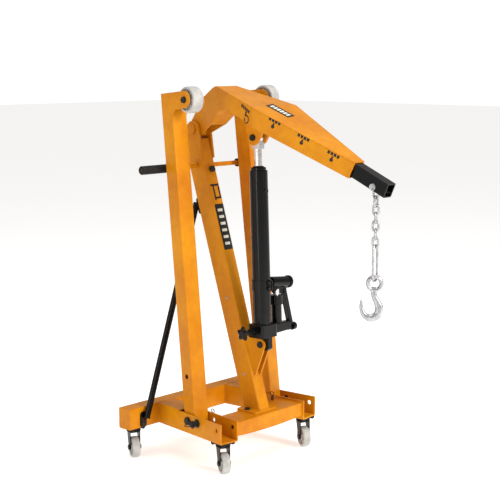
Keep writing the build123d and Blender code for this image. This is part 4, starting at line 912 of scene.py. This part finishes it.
def side_slab(piece, x, z, side, outline, lift=0.02, thick=0.4):
    """A mark on one of the boom's side plates, tipped to run along the boom's slope."""
    if x < WIDE_X:
        run = Vector((NECK_RUN, side * (WIDE_HALF - ROOT_HALF), 0)).normalized()
    else:
        run = Vector((REACH_RUN, side * (TIP_HALF - WIDE_HALF), 0)).normalized()
    normal = Vector((-run.y * side, run.x * side, 0))
    spot = Vector((x, side * boom_half(x), z)) + normal * lift
    across = run * cos(MARK_TIP) + Vector((0, 0, 1)) * sin(MARK_TIP)
    if side > 0:
        outline = [(px, -py) for px, py in outline]
    piece.slab(placed(spot, normal, across), outline, thick, 0.12)


LOAD_MARKS = ((48.6, 1176), (150.6, 1127), (254.6, 1077))
marks = Piece()
for side in (1, -1):
    for x, z in LOAD_MARKS:
        for k in range(4):
            side_slab(marks, x, z, side, rectangle(-18 + 12 * k, 9, 9, 10))
        side_slab(marks, x, z, side, disc(0, -10, 6.2))
        side_slab(marks, x, z, side, rectangle(0, -1, 6, 6, 0.6))
    for k in range(5):
        side_slab(marks, -71, 1219, side, rectangle(-23 + 11.5 * k, 3, 9, 11))
    side_slab(marks, -68, 1205, side, rectangle(0, 0, 8, 16))
    hoop = disc(0, 0, 15, 20)
    for k in range(20):
        a, b = hoop[k], hoop[(k + 1) % 20]
        if k not in (7, 8, 9):
            inner_a, inner_b = [(0.66 * px, 0.66 * py) for px, py in (a, b)]
            side_slab(marks, -64, 1187, side, [a, b, inner_b, inner_a])
marks.build("boom_side_marks", MARK, "boom")


def board_frame(lift):
    """The top board's frame: it lies on the sloping top plate and runs across it to the left."""
    centre = Vector((0, -4.5, BOOM_TOP[3][1] + WIDE_X * REACH_FALL / REACH_RUN))
    normal = Vector((REACH_FALL, 0, REACH_RUN)).normalized()
    return placed(centre + normal * lift, normal, Vector((83, 18, -38)))


board = Piece()
board.slab(board_frame(0.02), rectangle(0, 0, 92, 44, 2), 0.6, 0.2)
board.build("boom_top_board", MARK, "boom")
blocks = Piece()
for k in range(6):
    blocks.slab(board_frame(0.6), rectangle(-33 + 13.2 * k, 0, 9, 24, 1.5), 0.25, 0.1)
blocks.build("boom_top_blocks", PALE, "boom")

# ---------------------------------------------------------------- floor, light and camera

floor_shader = Shader("pale_floor", Roughness=0.95)
floor_shader.put(floor_shader.bsdf.inputs["Specular IOR Level"], 0.1)
floor_shader.put(floor_shader.bsdf.inputs["Emission Color"], (1, 1, 1, 1))
floor_shader.put(floor_shader.bsdf.inputs["Emission Strength"], 0.50)
floor_shader.colour(floor_shader.mix(floor_shader.noise(2.0, 4.0), (0.88, 0.88, 0.88, 1), (0.92, 0.92, 0.92, 1)))
bpy.ops.mesh.primitive_plane_add(size=60, location=(0, 0, 0))
floor = bpy.context.object
floor.name = "floor"
floor.data.materials.append(floor_shader.material)

world = bpy.data.worlds.new("studio")
world.use_nodes = True
sky = world.node_tree
sky.nodes["Background"].inputs["Color"].default_value = (1, 1, 1, 1)
sky.nodes["Background"].inputs["Strength"].default_value = 1.05
room = sky.nodes.new("ShaderNodeBackground")
room.inputs["Color"].default_value = (1.0, 0.98, 0.95, 1)
room.inputs["Strength"].default_value = 0.45
choose = sky.nodes.new("ShaderNodeMixShader")
ray = sky.nodes.new("ShaderNodeLightPath")
sky.links.new(ray.outputs["Is Camera Ray"], choose.inputs["Fac"])
sky.links.new(room.outputs["Background"], choose.inputs[1])
sky.links.new(sky.nodes["Background"].outputs["Background"], choose.inputs[2])
sky.links.new(choose.outputs["Shader"], sky.nodes["World Output"].inputs["Surface"])
scene.world = world
scene.view_settings.view_transform = "Standard"


def softbox(name, place, target, size, power, tint=(1, 1, 1)):
    """A rectangular light that looks at a target."""
    light = bpy.data.lights.new(name, "AREA")
    light.shape = "RECTANGLE"
    light.size, light.size_y = size
    light.energy = power
    light.color = tint
    holder = bpy.data.objects.new(name, light)
    holder.location = place
    holder.rotation_mode = "QUATERNION"
    holder.rotation_quaternion = (Vector(target) - Vector(place)).to_track_quat("-Z", "Y")
    scene.collection.objects.link(holder)


softbox("key_softbox", (4.4, 0.6, 2.4), (0, 0, 0.7), (1.4, 2.2), 175, (1, 0.95, 0.86))
softbox("top_softbox", (0.4, -0.3, 4.4), (0, 0, 0.6), (3.2, 3.2), 90)
softbox("side_softbox", (-1.4, -4.2, 1.8), (0, 0, 0.6), (0.8, 2.2), 16, (1, 0.90, 0.78))
softbox("strip_softbox", (1.0, -5.2, 1.2), (0, 0, 0.7), (0.30, 2.6), 40, (1, 0.93, 0.85))

# The photo's own view: turned from straight ahead, looking down a little.
CAMERA_AT = (2.7087, -3.0339, 1.3756)
CAMERA_TURN, CAMERA_DOWN = radians(43.07), radians(9.66)
camera_data = bpy.data.cameras.new("camera")
camera_data.lens = 87.92
camera_data.shift_x = -0.0061
camera_data.shift_y = 0.038
camera_data.clip_end = 100
camera = bpy.data.objects.new("camera", camera_data)
camera.location = CAMERA_AT
camera.rotation_euler = (pi / 2 - CAMERA_DOWN, 0, CAMERA_TURN)
scene.collection.objects.link(camera)
scene.camera = camera
